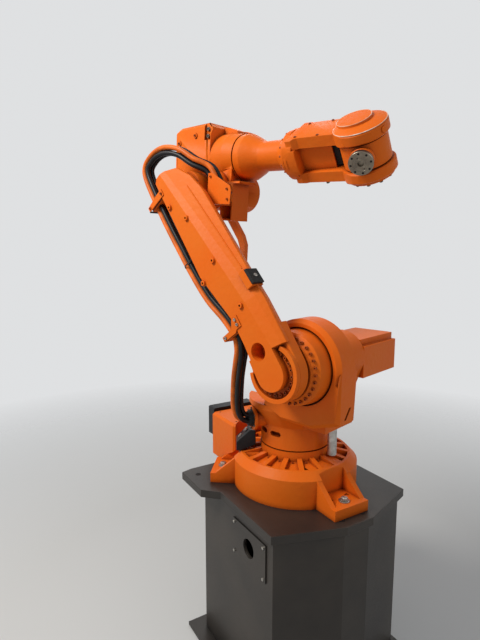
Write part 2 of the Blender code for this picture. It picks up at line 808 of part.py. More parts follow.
def tongue(bm):
    outline = arc(0, 0, TONGUE_R, 180, 360, 24) + [(TONGUE_R, ARM_START + CUT), (ARM_WAIST - HAT_SLOPE, ARM_START + CUT)]
    add_prism(bm, outline, ARM_FACE, HUB_FACE + CUT, "XZ")


def hub_spigot(bm):
    add_turned(bm, [(HUB_SPIGOT_R, HUB_BACK - CUT / 2), (HUB_SPIGOT_R, GEAR_FACE - SEAM)], 48, "Y")


def eye(bm):
    add_turned(bm, [(EYE_R, ARM_FACE - CUT), (EYE_R, ARM_FACE + EYE_DEEP)], 24, "Y", (EYE_X, 0, EYE_Z))


part("lower_arm_casting", shoulder_ref, hub, ORANGE, joins=(beam, hat, tongue, hub_spigot, pad_seat), cuts=(eye,))


def pad(bm):
    start = PAD_SEAT_EDGE / 2 + SEAM
    add_prism(bm, pad_outline(PAD_FOOT, PAD_TOP, start, start + PAD_THICK), PAD_NEAR, PAD_FAR, "XZ")


part("damper_pad", shoulder_ref, pad, BLACK, 0.5)


def elbow_bearing(bm):
    add_turned(bm, [(ELBOW_R, BEAM_BACK + SEAM), (ELBOW_R, HOUSE_RIGHT - SEAM)], 36, "Y")


part("elbow_bearing", elbow_ref, elbow_bearing, ORANGE)


# Upper arm housing
def house_box(bm):
    outline = [(HOUSE_REAR, HOUSE_REAR_FOOT), (-LEVER_LENGTH, HOUSE_FOOT), (HOUSE_FRONT, HOUSE_FOOT),
               (HOUSE_FRONT, HOUSE_TOP_FRONT - CUT), (HOUSE_FRONT - CUT, HOUSE_TOP_FRONT),
               (HOUSE_SLOPE_X, HOUSE_TOP), (HOUSE_REAR, HOUSE_REAR_TOP)]
    add_prism(bm, outline, HOUSE_RIGHT, HOUSE_LEFT, "XZ", SIDE_EDGE)


def house_hub(bm):
    add_turned(bm, [(HOUSE_HUB_R, HOUSE_RIGHT), (HOUSE_HUB_R, HOUSE_LEFT)], 40, "Y")


def barrel(bm):
    """The housing's square front runs over into the round barrel."""
    half_z = HOUSE_TOP_FRONT - FOREARM_LIFT - CUT
    half_y = FOREARM_SIDE - HOUSE_RIGHT - SEAM * 3
    rings = []
    for x, y, z, power in ((HOUSE_FRONT - CUT, half_y, half_z, 0.22), (HOUSE_FRONT, half_y, half_z, 0.30),
                           ((HOUSE_FRONT + BARREL_START) / 2, half_y, (half_z + BARREL_R) / 2, 0.62),
                           (BARREL_START, BARREL_R, BARREL_R, 1.0), (BARREL_FRONT, BARREL_END_R, BARREL_END_R, 1.0)):
        ring = []
        for u, v in circle(1.0, 40, start=math.pi / 40):
            ring.append((x, FOREARM_SIDE + y * math.copysign(abs(u) ** power, u),
                         FOREARM_LIFT + z * math.copysign(abs(v) ** power, v)))
        rings.append(ring)
    loft(bm, rings)


def corner_recess(bm):
    add_box(bm, (HOUSE_FRONT - CORNER_RECESS_LONG, HOUSE_RIGHT - CUT, HOUSE_TOP_FRONT - CORNER_RECESS_HIGH),
            (HOUSE_FRONT, HOUSE_RIGHT + CORNER_RECESS, HOUSE_TOP_FRONT + CUT))


def side_bosses(bm):
    for x, z in SIDE_BOSSES:
        add_turned(bm, [(SIDE_BOSS_R, HOUSE_RIGHT - SIDE_BOSS_HIGH), (SIDE_BOSS_R, HOUSE_RIGHT + CUT)], 16, "Y", (x, 0, z))


def rod_lug(bm):
    add_turned(bm, [(LUG_R, HOUSE_LEFT - CUT), (LUG_R, ROD_HIGH_Y - ROD_HALF - RUN)], 24, "Y", (-LEVER_LENGTH, 0, 0))


def bin_box(bm):
    add_box(bm, (BIN_REAR, BIN_RIGHT, BIN_FOOT), (BIN_FRONT, BIN_LEFT, BIN_TOP))


def bin_neck(bm):
    add_box(bm, (-HOUSE_HUB_R / 2, BIN_RIGHT + CUT, HOUSE_FOOT), (BARREL_FRONT - RUN, BIN_LEFT, FOREARM_LIFT - BARREL_END_R / 2))


part("arm_housing", elbow_ref, house_box, ORANGE, joins=(house_hub, barrel, rod_lug, bin_neck, bin_box, side_bosses),
     cuts=(corner_recess,))


def hose_plate(bm):
    outline = [(HOSE_PLATE_REAR, HOSE_PLATE_TOP), (HOSE_PLATE_FRONT, HOSE_PLATE_STEP), (HOSE_PLATE_FRONT, HOSE_PLATE_FOOT),
               (HOSE_PLATE_REAR, HOSE_PLATE_FOOT)]
    add_prism(bm, outline, HOSE_PLATE_Y, HOSE_PLATE_Y + HOSE_PLATE_THICK, "XZ")


def plate_arm(bm):
    add_box(bm, (HOSE_PLATE_REAR + SEAM, HOSE_PLATE_Y + HOSE_PLATE_THICK / 2, HOSE_PLATE_FOOT + SEAM),
            (HOSE_PLATE_REAR + HOSE_ARM_HALF * 1.4, BIN_RIGHT - SEAM, HOSE_PLATE_FOOT + HOSE_ARM_HALF * 1.8))


def rear_cover(bm):
    low = (HOUSE_LEFT - REAR_COVER_MARGIN, HOUSE_REAR_FOOT + REAR_COVER_MARGIN)
    high = (HOUSE_RIGHT + REAR_COVER_MARGIN, HOUSE_REAR_TOP - REAR_COVER_MARGIN)
    outline = [(low[0], low[1]), (high[0], low[1]), (high[0], high[1]), (low[0], high[1])]
    add_prism(bm, corner_cut(outline, CUT), HOUSE_REAR - SEAM - REAR_COVER_THICK, HOUSE_REAR - SEAM, "YZ")


def high_pin(bm):
    lug_end = ROD_HIGH_Y - ROD_HALF - RUN
    far = ROD_HIGH_Y + ROD_HALF + PIVOT_END
    add_turned(bm, [
        (PIVOT_HEAD_R, lug_end + SEAM), (PIVOT_HEAD_R, lug_end + RUN - SEAM * 2), (PIVOT_R, lug_end + RUN - SEAM * 2),
        (PIVOT_R, far), (PIVOT_HEAD_R, far), (PIVOT_HEAD_R, far + PIVOT_HEAD),
    ], 32, "Y", (-LEVER_LENGTH, 0, 0))


part("housing_rear_cover", elbow_ref, rear_cover, ORANGE)
part("hose_bracket_plate", elbow_ref, hose_plate, ORANGE, joins=(plate_arm,))
part("rod_pin_upper", elbow_ref, high_pin, STEEL, 0.35, 1.0)


# Forearm tube and wrist, turned by axis 4
def tube(bm):
    add_turned(bm, [
        (COLLAR_R * 0.85, BARREL_FRONT + SEAM), (COLLAR_R * 0.85, BARREL_FRONT + SEAM_GAP), (COLLAR_R, BARREL_FRONT + SEAM_GAP), (COLLAR_R, COLLAR_END), (TUBE_R + CUT, TUBE_START - CUT * 1.5),
        (TUBE_R + SEAM * 10, TUBE_START), (TUBE_R, TUBE_START + CUT), (TUBE_R, TUBE_END),
        (TUBE_FLANGE_R, TUBE_FLANGE_X - CUT / 2), (TUBE_FLANGE_R, TUBE_FLANGE_X),
    ], 48, "X")


part("forearm_tube", roll_ref, tube, ORANGE)


def fork_root(bm):
    rings = []
    for x, half_y, half_z in ((TUBE_FLANGE_X + SEAM, FORK_BASE_R, FORK_BASE_R), (TUBE_FLANGE_X + CUT, FORK_BASE_R, FORK_BASE_R),
                              (FORK_ROOT + CUT * 2, TINE_R * 0.9, TINE_OUT)):
        rings.append([(x, half_y * math.copysign(abs(math.cos(t)) ** 0.7, math.cos(t)),
                       half_z * math.copysign(abs(math.sin(t)) ** 0.7, math.sin(t)))
                      for t in (2 * math.pi * i / 32 for i in range(32))])
    loft(bm, rings)


def tine(bm, low, high):
    outline = arc(FOREARM_LENGTH, 0, TINE_R, -90, 90, 28) + [
        (FORK_ROOT + CUT * 4, TINE_NECK_HALF), (FORK_ROOT, TINE_NECK_HALF),
        (FORK_ROOT, -TINE_NECK_HALF), (FORK_ROOT + CUT * 4, -TINE_NECK_HALF)]
    add_prism(bm, outline, low, high, "XY", PLUG_BEVEL)


def upper_tine(bm):
    tine(bm, TINE_IN, TINE_OUT)


def lower_tine(bm):
    tine(bm, -TINE_OUT, -TINE_IN)


def fork_web(bm):
    """Solid crotch between the tines, running out to a blunt tip."""
    steps = 8
    side = []
    for i in range(steps + 1):
        share = i / steps
        half = WEB_END_HALF + (WEB_START_HALF - WEB_END_HALF) * (1 - share) ** 1.6
        side.append((FORK_ROOT + (WEB_END - FORK_ROOT) * share, half))
    add_prism(bm, side + [(x, -half) for x, half in side[::-1]], -TINE_IN - CUT / 2, TINE_IN + CUT / 2, "XY")


part("wrist_fork", roll_ref, fork_root, ORANGE, joins=(upper_tine, lower_tine, fork_web))


def cap(bm):
    dome = ((1.0, 0.0), (1.0, 0.45), (0.95, 0.7), (0.82, 0.87), (0.6, 0.96), (0.3, 1.0))
    profile = [(CAP_R * r, TINE_OUT + SEAM + (CAP_HIGH - SEAM) * h) for r, h in dome]
    add_turned(bm, profile, 36, "Z", (FOREARM_LENGTH - CAP_BACK, 0, 0))


def lower_cover(bm):
    add_turned(bm, [(LOWER_COVER_R, -TINE_OUT - LOWER_COVER_THICK), (LOWER_COVER_R, -TINE_OUT - SEAM)], 36, "Z",
               (FOREARM_LENGTH, 0, 0))


part("fork_cap", roll_ref, cap, ORANGE)
part("fork_lower_cover", roll_ref, lower_cover, ORANGE)


def tilt_body(bm):
    add_turned(bm, [(TILT_R, -TILT_HALF), (TILT_R, TILT_HALF)], 44, "Z")


def tilt_neck(bm):
    add_turned(bm, [(TILT_NECK_R, TILT_R / 2), (TILT_NECK_R, TILT_NECK_END)], 32, "X")


def tilt_spigot(bm):
    add_turned(bm, [(CAP_R, -TINE_IN + SEAM), (CAP_R, TINE_IN - SEAM)], 36, "Z")


part("tilt_housing", tilt_ref, tilt_body, ORANGE, joins=(tilt_neck, tilt_spigot))


def tool_flange(bm):
    add_turned(bm, [(TOOL_R - RUN, TILT_NECK_END + SEAM), (TOOL_R, FLANGE_REACH - TOOL_THICK), (TOOL_R, FLANGE_REACH)], 40, "X")


part("tool_flange", tilt_ref, tool_flange, GREY, 0.4, 0.9)


# Parallel arm and rod
def lever(bm):
    outline = link_outline(LEVER_HUB_R, LEVER_END_R, LEVER_LENGTH)
    turned_about(bm, lambda b: add_prism(b, outline, LEVER_RIGHT, LEVER_LEFT, "XZ"), "Y", -90)


def lever_spigot(bm):
    add_turned(bm, [(SPIGOT_R, LEVER_RIGHT + RUN), (SPIGOT_R, LEFT_WALL_INNER - SEAM)], 40, "Y")


def lever_bore(bm):
    add_turned(bm, [(PIVOT_R + PIVOT_PLAY, LEVER_RIGHT - CUT), (PIVOT_R + PIVOT_PLAY, LEVER_LEFT + CUT)], 32, "Y",
               (-LEVER_LENGTH, 0, 0))


part("parallel_arm", lever_ref, lever, ORANGE, joins=(lever_spigot,), cuts=(lever_bore,))


def low_pin(bm):
    gap_end = LEVER_RIGHT - SEAM * 2
    gap_start = ROD_LOW_Y + ROD_HALF + SEAM * 2
    cap_face = ROD_LOW_Y - ROD_HALF - PIVOT_END
    add_turned(bm, [
        (PIVOT_HEAD_R, cap_face - PIVOT_CAP), (PIVOT_HEAD_R, cap_face), (PIVOT_R, cap_face), (PIVOT_R, gap_start), (PIVOT_HEAD_R, gap_start),
        (PIVOT_HEAD_R, gap_end), (PIVOT_R, gap_end), (PIVOT_R, LEVER_LEFT + PIVOT_END / 2),
    ], 32, "Y", (-LEVER_LENGTH, 0, 0))


part("rod_pin_lower", lever_ref, low_pin, STEEL, 0.35, 1.0)


def rod(bm):
    stations = [0.0, ROD_BEND_START, (ROD_BEND_START * 3 + ROD_BEND_END) / 4, (ROD_BEND_START + ROD_BEND_END) / 2,
                (ROD_BEND_START + ROD_BEND_END * 3) / 4, ROD_BEND_END, LOWER_LENGTH]
    rings = []
    for z in stations:
        t = min(max((z - ROD_BEND_START) / (ROD_BEND_END - ROD_BEND_START), 0), 1)
        y = ROD_LOW_Y + (ROD_HIGH_Y - ROD_LOW_Y) * (3 * t * t - 2 * t ** 3)
        rings.append([(-ROD_WIDE, y - ROD_HALF, z), (ROD_WIDE, y - ROD_HALF, z), (ROD_WIDE, y + ROD_HALF, z), (-ROD_WIDE, y + ROD_HALF, z)])
    loft(bm, rings)


def low_eye(bm):
    add_turned(bm, [(ROD_EYE_R, ROD_LOW_Y - ROD_HALF), (ROD_EYE_R, ROD_LOW_Y + ROD_HALF)], 28, "Y")


def high_eye(bm):
    add_turned(bm, [(ROD_EYE_R, ROD_HIGH_Y - ROD_HALF), (ROD_EYE_R, ROD_HIGH_Y + ROD_HALF)], 28, "Y", (0, 0, LOWER_LENGTH))


def rod_bores(bm):
    play = PIVOT_R + PIVOT_PLAY
    add_turned(bm, [(play, ROD_LOW_Y - CUT), (play, ROD_LOW_Y + CUT)], 32, "Y")
    add_turned(bm, [(play, ROD_HIGH_Y - CUT), (play, ROD_HIGH_Y + CUT)], 32, "Y", (0, 0, LOWER_LENGTH))


part("parallel_rod", rod_ref, rod, ORANGE, joins=(low_eye, high_eye), cuts=(rod_bores,))

# Hoses
def smooth(points, count):
    """Points along a cubic through the given route, whose first and last stretch stay straight."""
    pts = [Vector(p) for p in points]
    ends = [pts[0] * 2 - pts[1]] + pts + [pts[-1] * 2 - pts[-2]]
    out = []
    for i in range(1, len(ends) - 2):
        a, b, c, d = ends[i - 1:i + 3]
        steps = 1 if i in (1, len(ends) - 3) else count
        for k in range(steps):
            t = k / steps
            out.append(0.5 * ((b * 2) + (c - a) * t + (a * 2 - b * 5 + c * 4 - d) * t ** 2 + (b * 3 - a - c * 3 + d) * t ** 3))
    out.append(pts[-1])
    return out


def hose(name, parent, route, across, place, r, color, count=2):
    """One hose of a bundle; across is the axis that the bundle's width follows."""
    line = smooth(route, count)
    u, v = place
    curve = bpy.data.curves.new(name, "CURVE")
    curve.dimensions = "3D"
    curve.bevel_depth = r
    curve.bevel_resolution = 2
    curve.use_fill_caps = True
    spline = curve.splines.new("POLY")
    spline.points.add(len(line) - 1)
    last = len(line) - 1
    for i, p in enumerate(line):
        behind = last - 1 if i == last - 1 else max(i - 1, 0)
        ahead = 1 if i == 1 else min(i + 1, last)
        along = (line[ahead] - line[behind]).normalized()
        if across == "X":
            side = (Vector((1, 0, 0)) - along * along.x).normalized()
        else:
            side = Vector((0, 1, 0)).cross(along).normalized()
        spline.points[i].co = (*(p + side * u + along.cross(side) * v), 1.0)
    obj = bpy.data.objects.new(name, curve)
    bpy.context.scene.collection.objects.link(obj)
    obj.parent = parent
    curve.materials.append(material(name + "_mat", color, 0.5, 0.0))
    return obj


def clamp_block(x0, x1, z0, z1):
    return lambda bm: add_box(bm, (x0, CLAMP_NEAR, z0), (x1, CLAMP_FAR, z1), PLUG_BEVEL / 2)


LOW_EDGE = ARM_WAIST - SEAM
HIGH_EDGE = ARM_REAR - SEAM
CLAMP_LOW_TOP = CLAMP_LOW_Z + CLAMP_THICK
CLAMP_HIGH_TOP = CLAMP_HIGH_Z + CLAMP_THICK + PLUG_BEVEL
part("hose_clamp_lower", shoulder_ref, clamp_block(LOW_EDGE - CLAMP_LOW_REACH, LOW_EDGE, CLAMP_LOW_Z, CLAMP_LOW_TOP), ORANGE)
part("hose_clamp_upper", shoulder_ref, clamp_block(HIGH_EDGE - CLAMP_HIGH_REACH, HIGH_EDGE, CLAMP_HIGH_Z, CLAMP_HIGH_TOP),
     STEEL, 0.4, 0.8)


def turned_point(x, z, degrees):
    """A point of the XZ plane, seen from a frame that is turned about Y."""
    c, s = math.cos(math.radians(degrees)), math.sin(math.radians(degrees))
    return (x * c - z * s, x * s + z * c)


def arm_to_turret(x, y, z):
    u, w = turned_point(x, z, LOWER_LEAN)
    return (u + SHOULDER_FORWARD, y, w + SHOULDER_HEIGHT)


def arm_to_elbow(x, y, z):
    u, w = turned_point(x, z - LOWER_LENGTH, LOWER_LEAN + UPPER_PITCH)
    return (u, y, w)


BUNDLE_Y = -0.395
BUNDLE_LOW_X = LOW_EDGE - CLAMP_LOW_REACH / 2
BUNDLE_HIGH_X = HIGH_EDGE - CLAMP_HIGH_REACH + HOSE_PITCH + HOSE_R * 2
LEAD = 0.0165
GLAND_AT = (0.150, HOSE_PLATE_Y + HOSE_PLATE_THICK + SEAM + GLAND_HALF, -0.012)
GLAND_LEAN = 142.0


def gland(bm):
    turned_about(bm, lambda b: add_box(b, (-GLAND_HALF, -GLAND_HALF, -GLAND_LONG), (GLAND_HALF, GLAND_HALF, 0), PLUG_BEVEL / 2),
                 "Y", GLAND_LEAN - 180)
    bmesh.ops.translate(bm, vec=GLAND_AT, verts=bm.verts[:])


part("hose_gland", elbow_ref, gland, BLACK, 0.5)

gland_x, gland_y, gland_z = GLAND_AT
along_x = -math.sin(math.radians(GLAND_LEAN))
along_z = -math.cos(math.radians(GLAND_LEAN))


def before_gland(gap):
    return (gland_x + along_x * gap, gland_y, gland_z + along_z * gap)


turret_route = [
    (-0.10687, -0.20974, 0.360), (-0.11441, -0.22454, 0.360), (-0.1290, -0.2700, 0.382), (-0.1230, -0.3020, 0.448),
    (-0.0800, -0.3420, 0.584), (-0.0320, -0.3780, 0.680), (-0.0075, -0.3930, 0.742),
    arm_to_turret(BUNDLE_LOW_X, BUNDLE_Y, CLAMP_LOW_Z - SEAM - LEAD), arm_to_turret(BUNDLE_LOW_X, BUNDLE_Y, CLAMP_LOW_Z - SEAM),
]
arm_route = [
    (BUNDLE_LOW_X, BUNDLE_Y, CLAMP_LOW_TOP + SEAM), (BUNDLE_LOW_X, BUNDLE_Y, CLAMP_LOW_TOP + SEAM + LEAD),
    (-0.120, BUNDLE_Y, 0.350), (-0.158, BUNDLE_Y, 0.470), (-0.178, BUNDLE_Y, 0.620), (-0.188, BUNDLE_Y, 0.800),
    (-0.193, BUNDLE_Y, 0.930), (BUNDLE_HIGH_X, BUNDLE_Y, CLAMP_HIGH_Z - SEAM - LEAD), (BUNDLE_HIGH_X, BUNDLE_Y, CLAMP_HIGH_Z - SEAM),
]
loop_route = [
    arm_to_elbow(BUNDLE_HIGH_X, BUNDLE_Y, CLAMP_HIGH_TOP + SEAM), arm_to_elbow(BUNDLE_HIGH_X, BUNDLE_Y, CLAMP_HIGH_TOP + SEAM + LEAD),
    (-0.292, -0.393, 0.070), (-0.262, -0.386, 0.140), (-0.185, -0.372, 0.178), (-0.085, -0.355, 0.168), (0.005, -0.335, 0.122),
    (0.083, -0.2975, 0.084), before_gland(SEAM + LEAD), before_gland(SEAM),
]
for label, parent, route, across in (("turret", turret_ref, turret_route, "X"), ("arm", shoulder_ref, arm_route, "Y"),
                                     ("loop", elbow_ref, loop_route, "Y")):
    for number, place_share in enumerate(BLACK_PLACES):
        hose(f"hose_black_{label}_{number + 1}", parent, route, across, place_share, HOSE_R, BLACK)
    hose("hose_painted_" + label, parent, route, across, PAINTED_PLACE, PAINTED_R, ORANGE)
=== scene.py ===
# Orange six-axis robot on its steel plinth: finishes, fasteners, hoses and light.
import bpy
import bmesh
import json
import math
from mathutils import Matrix, Vector


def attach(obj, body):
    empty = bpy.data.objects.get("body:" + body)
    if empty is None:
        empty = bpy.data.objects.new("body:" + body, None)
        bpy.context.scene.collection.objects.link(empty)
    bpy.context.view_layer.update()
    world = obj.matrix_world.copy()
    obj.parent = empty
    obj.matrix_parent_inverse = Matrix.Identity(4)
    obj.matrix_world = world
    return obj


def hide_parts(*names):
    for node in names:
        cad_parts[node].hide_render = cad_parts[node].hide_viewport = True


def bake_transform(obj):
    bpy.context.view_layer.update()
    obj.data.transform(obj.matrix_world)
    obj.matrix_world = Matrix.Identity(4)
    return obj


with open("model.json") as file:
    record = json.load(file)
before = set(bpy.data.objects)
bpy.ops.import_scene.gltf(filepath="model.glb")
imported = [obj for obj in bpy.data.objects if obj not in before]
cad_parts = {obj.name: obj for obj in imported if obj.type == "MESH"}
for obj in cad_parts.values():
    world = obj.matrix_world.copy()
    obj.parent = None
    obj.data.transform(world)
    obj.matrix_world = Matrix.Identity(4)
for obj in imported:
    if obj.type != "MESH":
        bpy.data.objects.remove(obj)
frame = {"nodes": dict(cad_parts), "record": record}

scene = bpy.context.scene
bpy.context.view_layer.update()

# The arm's own axes at rest, all in metres and degrees
pose = {
    "plinthHeight": 0.92, "turretTurn": 15.0, "shoulder": (0.2, 0.0, 0.68), "lowerLean": -36.0,
    "lowerLength": 1.01, "elbowTurn": 40.0, "forearmSide": -0.08, "forearmLift": 0.165, "wristRoll": 36.0,
    "forearmLength": 0.785, "wristTilt": -70.0,
}


def stand(parent, at, axis=None, degrees=0.0):
    turn = Matrix.Rotation(math.radians(degrees), 4, axis) if axis else Matrix.Identity(4)
    return parent @ Matrix.Translation(at) @ turn


base = stand(Matrix.Identity(4), (0, 0, pose["plinthHeight"]))
turret = stand(base, (0, 0, 0), "Z", pose["turretTurn"])
lowerArm = stand(turret, pose["shoulder"], "Y", pose["lowerLean"])
upperArm = stand(lowerArm, (0, 0, pose["lowerLength"]), "Y", pose["elbowTurn"])
forearm = stand(upperArm, (0, pose["forearmSide"], pose["forearmLift"]), "X", pose["wristRoll"])
wrist = stand(forearm, (pose["forearmLength"], 0, 0), "Z", pose["wristTilt"])

# Camera at the photograph's place
cameraSetup = {"place": (1.9152, -1.4756, 2.106), "down": 8.1, "azimuth": 59.17, "lens": 27.09}


def addCamera():
    data = bpy.data.cameras.new("viewCamera")
    data.sensor_width = 36
    data.lens = cameraSetup["lens"]
    data.clip_end = 60
    camera = bpy.data.objects.new("viewCamera", data)
    camera.location = cameraSetup["place"]
    camera.rotation_euler = (math.radians(90 - cameraSetup["down"]), 0,
                             math.radians(cameraSetup["azimuth"]))
    scene.collection.objects.link(camera)
    scene.camera = camera


addCamera()


# Material helpers
def newMaterial(name):
    mat = bpy.data.materials.new(name)
    mat.use_nodes = True
    mat.node_tree.nodes.clear()
    out = mat.node_tree.nodes.new("ShaderNodeOutputMaterial")
    shader = mat.node_tree.nodes.new("ShaderNodeBsdfPrincipled")
    mat.node_tree.links.new(shader.outputs[0], out.inputs["Surface"])
    coord = mat.node_tree.nodes.new("ShaderNodeTexCoord")
    return mat, mat.node_tree, shader, coord.outputs["Object"]


def noiseAt(tree, vector, scale, detail=4.0, rough=0.55, stretch=None):
    if stretch:
        mapping = tree.nodes.new("ShaderNodeMapping")
        mapping.inputs["Scale"].default_value = stretch
        tree.links.new(vector, mapping.inputs["Vector"])
        vector = mapping.outputs["Vector"]
    node = tree.nodes.new("ShaderNodeTexNoise")
    node.inputs["Scale"].default_value = scale
    node.inputs["Detail"].default_value = detail
    node.inputs["Roughness"].default_value = rough
    tree.links.new(vector, node.inputs["Vector"])
    return node.outputs["Fac"]


def rampOf(tree, value, stops):
    node = tree.nodes.new("ShaderNodeValToRGB")
    while len(node.color_ramp.elements) < len(stops):
        node.color_ramp.elements.new(0.5)
    for element, (place, color) in zip(node.color_ramp.elements, stops):
        element.position = place
        element.color = (color, color, color, 1) if isinstance(color, float) else (*color, 1)
    tree.links.new(value, node.inputs["Fac"])
    return node.outputs["Color"]


def mixColor(tree, factor, a, b, kind="MIX"):
    node = tree.nodes.new("ShaderNodeMix")
    node.data_type = "RGBA"
    node.blend_type = kind
    for socket, value in ((node.inputs[0], factor), (node.inputs[6], a), (node.inputs[7], b)):
        if isinstance(value, (int, float)):
            socket.default_value = value
        elif isinstance(value, tuple):
            socket.default_value = (*value, 1)
        else:
            tree.links.new(value, socket)
    return node.outputs[2]


def scaled(tree, value, low, high, fromLow=0.0, fromHigh=1.0):
    node = tree.nodes.new("ShaderNodeMapRange")
    for name, number in (("From Min", fromLow), ("From Max", fromHigh), ("To Min", low), ("To Max", high)):
        node.inputs[name].default_value = number
    tree.links.new(value, node.inputs["Value"])
    return node.outputs["Result"]


def bumpFrom(tree, shader, height, strength, distance, before=None):
    node = tree.nodes.new("ShaderNodeBump")
    node.inputs["Strength"].default_value = strength
    node.inputs["Distance"].default_value = distance
    tree.links.new(height, node.inputs["Height"])
    if before:
        tree.links.new(before, node.inputs["Normal"])
    tree.links.new(node.outputs["Normal"], shader.inputs["Normal"])
    return node.outputs["Normal"]


# Ambient occlusion of nearby geometry, used by the finishes below to paint shade into recesses
def recess(tree, distance):
    node = tree.nodes.new("ShaderNodeAmbientOcclusion")
    node.samples = 6
    node.inputs["Distance"].default_value = distance
    return node.outputs["AO"]


def paintedCasting(name, spec):
    mat, tree, shader, where = newMaterial(name)
    broad = noiseAt(tree, where, spec["patchScale"], 3.0)
    fine = noiseAt(tree, where, spec["grainScale"], 5.0, 0.6)
    scuffs = noiseAt(tree, where, spec["scuffScale"], 8.0, 0.7, (1.0, 1.0, 0.55))
    color = mixColor(tree, rampOf(tree, broad, [(0.3, 0.0), (0.72, 1.0)]), spec["color"], spec["faded"])
    # Painted shade: the colour darkens in the recesses that the ambient occlusion finds
    paintedShade = rampOf(tree, recess(tree, spec["paintedShadeReach"]),
                   [(spec["paintedShadeLow"], 1.0), (spec["paintedShadeHigh"], 0.0)])
    color = mixColor(tree, paintedShade, color, spec["paintedShade"])
    chips = rampOf(tree, scuffs, [(spec["chipFrom"], 0.0), (spec["chipFrom"] + 0.02, 1.0)])
    color = mixColor(tree, chips, color, spec["chip"])
    tree.links.new(color, shader.inputs["Base Color"])
    tree.links.new(scaled(tree, fine, spec["roughLow"], spec["roughHigh"], 0.3, 0.7),
                   shader.inputs["Roughness"])
    shader.inputs["Metallic"].default_value = spec["metal"]
    shader.inputs["Coat Weight"].default_value = spec["coat"]
    shader.inputs["Coat Roughness"].default_value = 0.22
    shader.inputs["Specular IOR Level"].default_value = spec["shine"]
    first = bumpFrom(tree, shader, noiseAt(tree, where, spec["castScale"], 3.0, 0.5), spec["castBump"],
                     0.004)
    bumpFrom(tree, shader, fine, spec["grainBump"], 0.001, first)
    return mat


# In each finish the shade colour, reach and ramp paint shade into recesses; the chips are wear
orangeSpec = {
    "color": (0.8, 0.138, 0.007), "faded": (0.78, 0.16, 0.011), "paintedShade": (0.2, 0.03, 0.004),
    "chip": (0.46, 0.085, 0.02), "patchScale": 5.0, "grainScale": 260.0, "scuffScale": 19.0,
    "chipFrom": 0.74, "paintedShadeReach": 0.035, "paintedShadeLow": 0.3, "paintedShadeHigh": 0.85, "roughLow": 0.38,
    "roughHigh": 0.56, "metal": 0.0, "coat": 0.0, "shine": 0.14, "castScale": 42.0, "castBump": 0.36,
    "grainBump": 0.25,
}
plinthSpec = {
    "color": (0.025, 0.021, 0.018), "faded": (0.048, 0.039, 0.031), "paintedShade": (0.01, 0.009, 0.009),
    "chip": (0.12, 0.1, 0.085), "patchScale": 3.0, "grainScale": 340.0, "scuffScale": 24.0,
    "chipFrom": 0.7, "paintedShadeReach": 0.05, "paintedShadeLow": 0.3, "paintedShadeHigh": 0.8, "roughLow": 0.36,
    "roughHigh": 0.55, "metal": 0.25, "coat": 0.1, "shine": 0.4, "castScale": 30.0, "castBump": 0.06,
    "grainBump": 0.12,
}
# Worn rims: worn paint in a bright cream that also paints their highlight
wornRimHighlightSpec = dict(orangeSpec, color=(0.86, 0.74, 0.62), faded=(0.82, 0.24, 0.05), chip=(0.9, 0.84, 0.76),
                chipFrom=0.55, patchScale=17.0, roughLow=0.28, roughHigh=0.42, castBump=0.1)
# Overpainted screws; the dark in their sockets is painted shade
screwSpec = dict(orangeSpec, color=(0.5, 0.085, 0.01), faded=(0.3, 0.07, 0.02), paintedShade=(0.02, 0.008, 0.004),
                 patchScale=30.0, paintedShadeReach=0.007, paintedShadeLow=0.45, paintedShadeHigh=0.9, roughLow=0.3,
                 roughHigh=0.45)
blackPaintSpec = dict(plinthSpec, color=(0.014, 0.014, 0.015), faded=(0.022, 0.022, 0.023), castBump=0.15)


def machinedSteel(name, color, dark, rough, turned=None):
    mat, tree, shader, where = newMaterial(name)
    stain = noiseAt(tree, where, 34.0, 6.0, 0.6)
    lines = noiseAt(tree, where, 500.0, 2.0, 0.5, turned or (1.0, 1.0, 0.06))
    tree.links.new(mixColor(tree, rampOf(tree, stain, [(0.35, 0.0), (0.65, 1.0)]), color, dark),
                   shader.inputs["Base Color"])
    shader.inputs["Metallic"].default_value = 0.92
    tree.links.new(scaled(tree, stain, rough - 0.08, rough + 0.12, 0.3, 0.7), shader.inputs["Roughness"])
    bumpFrom(tree, shader, lines, 0.12, 0.0006)
    return mat


def softBlack(name, color, rough, scale, bump, shine=0.22):
    mat, tree, shader, where = newMaterial(name)
    shader.inputs["Specular IOR Level"].default_value = shine
    dust = noiseAt(tree, where, 12.0, 5.0, 0.6)
    dusty = tuple(c * 1.8 + 0.004 for c in color)
    tree.links.new(mixColor(tree, rampOf(tree, dust, [(0.42, 0.0), (0.75, 1.0)]), color, dusty),
                   shader.inputs["Base Color"])
    tree.links.new(scaled(tree, dust, rough - 0.06, rough + 0.1, 0.3, 0.7), shader.inputs["Roughness"])
    bumpFrom(tree, shader, noiseAt(tree, where, scale, 3.0), bump, 0.0008)
    return mat


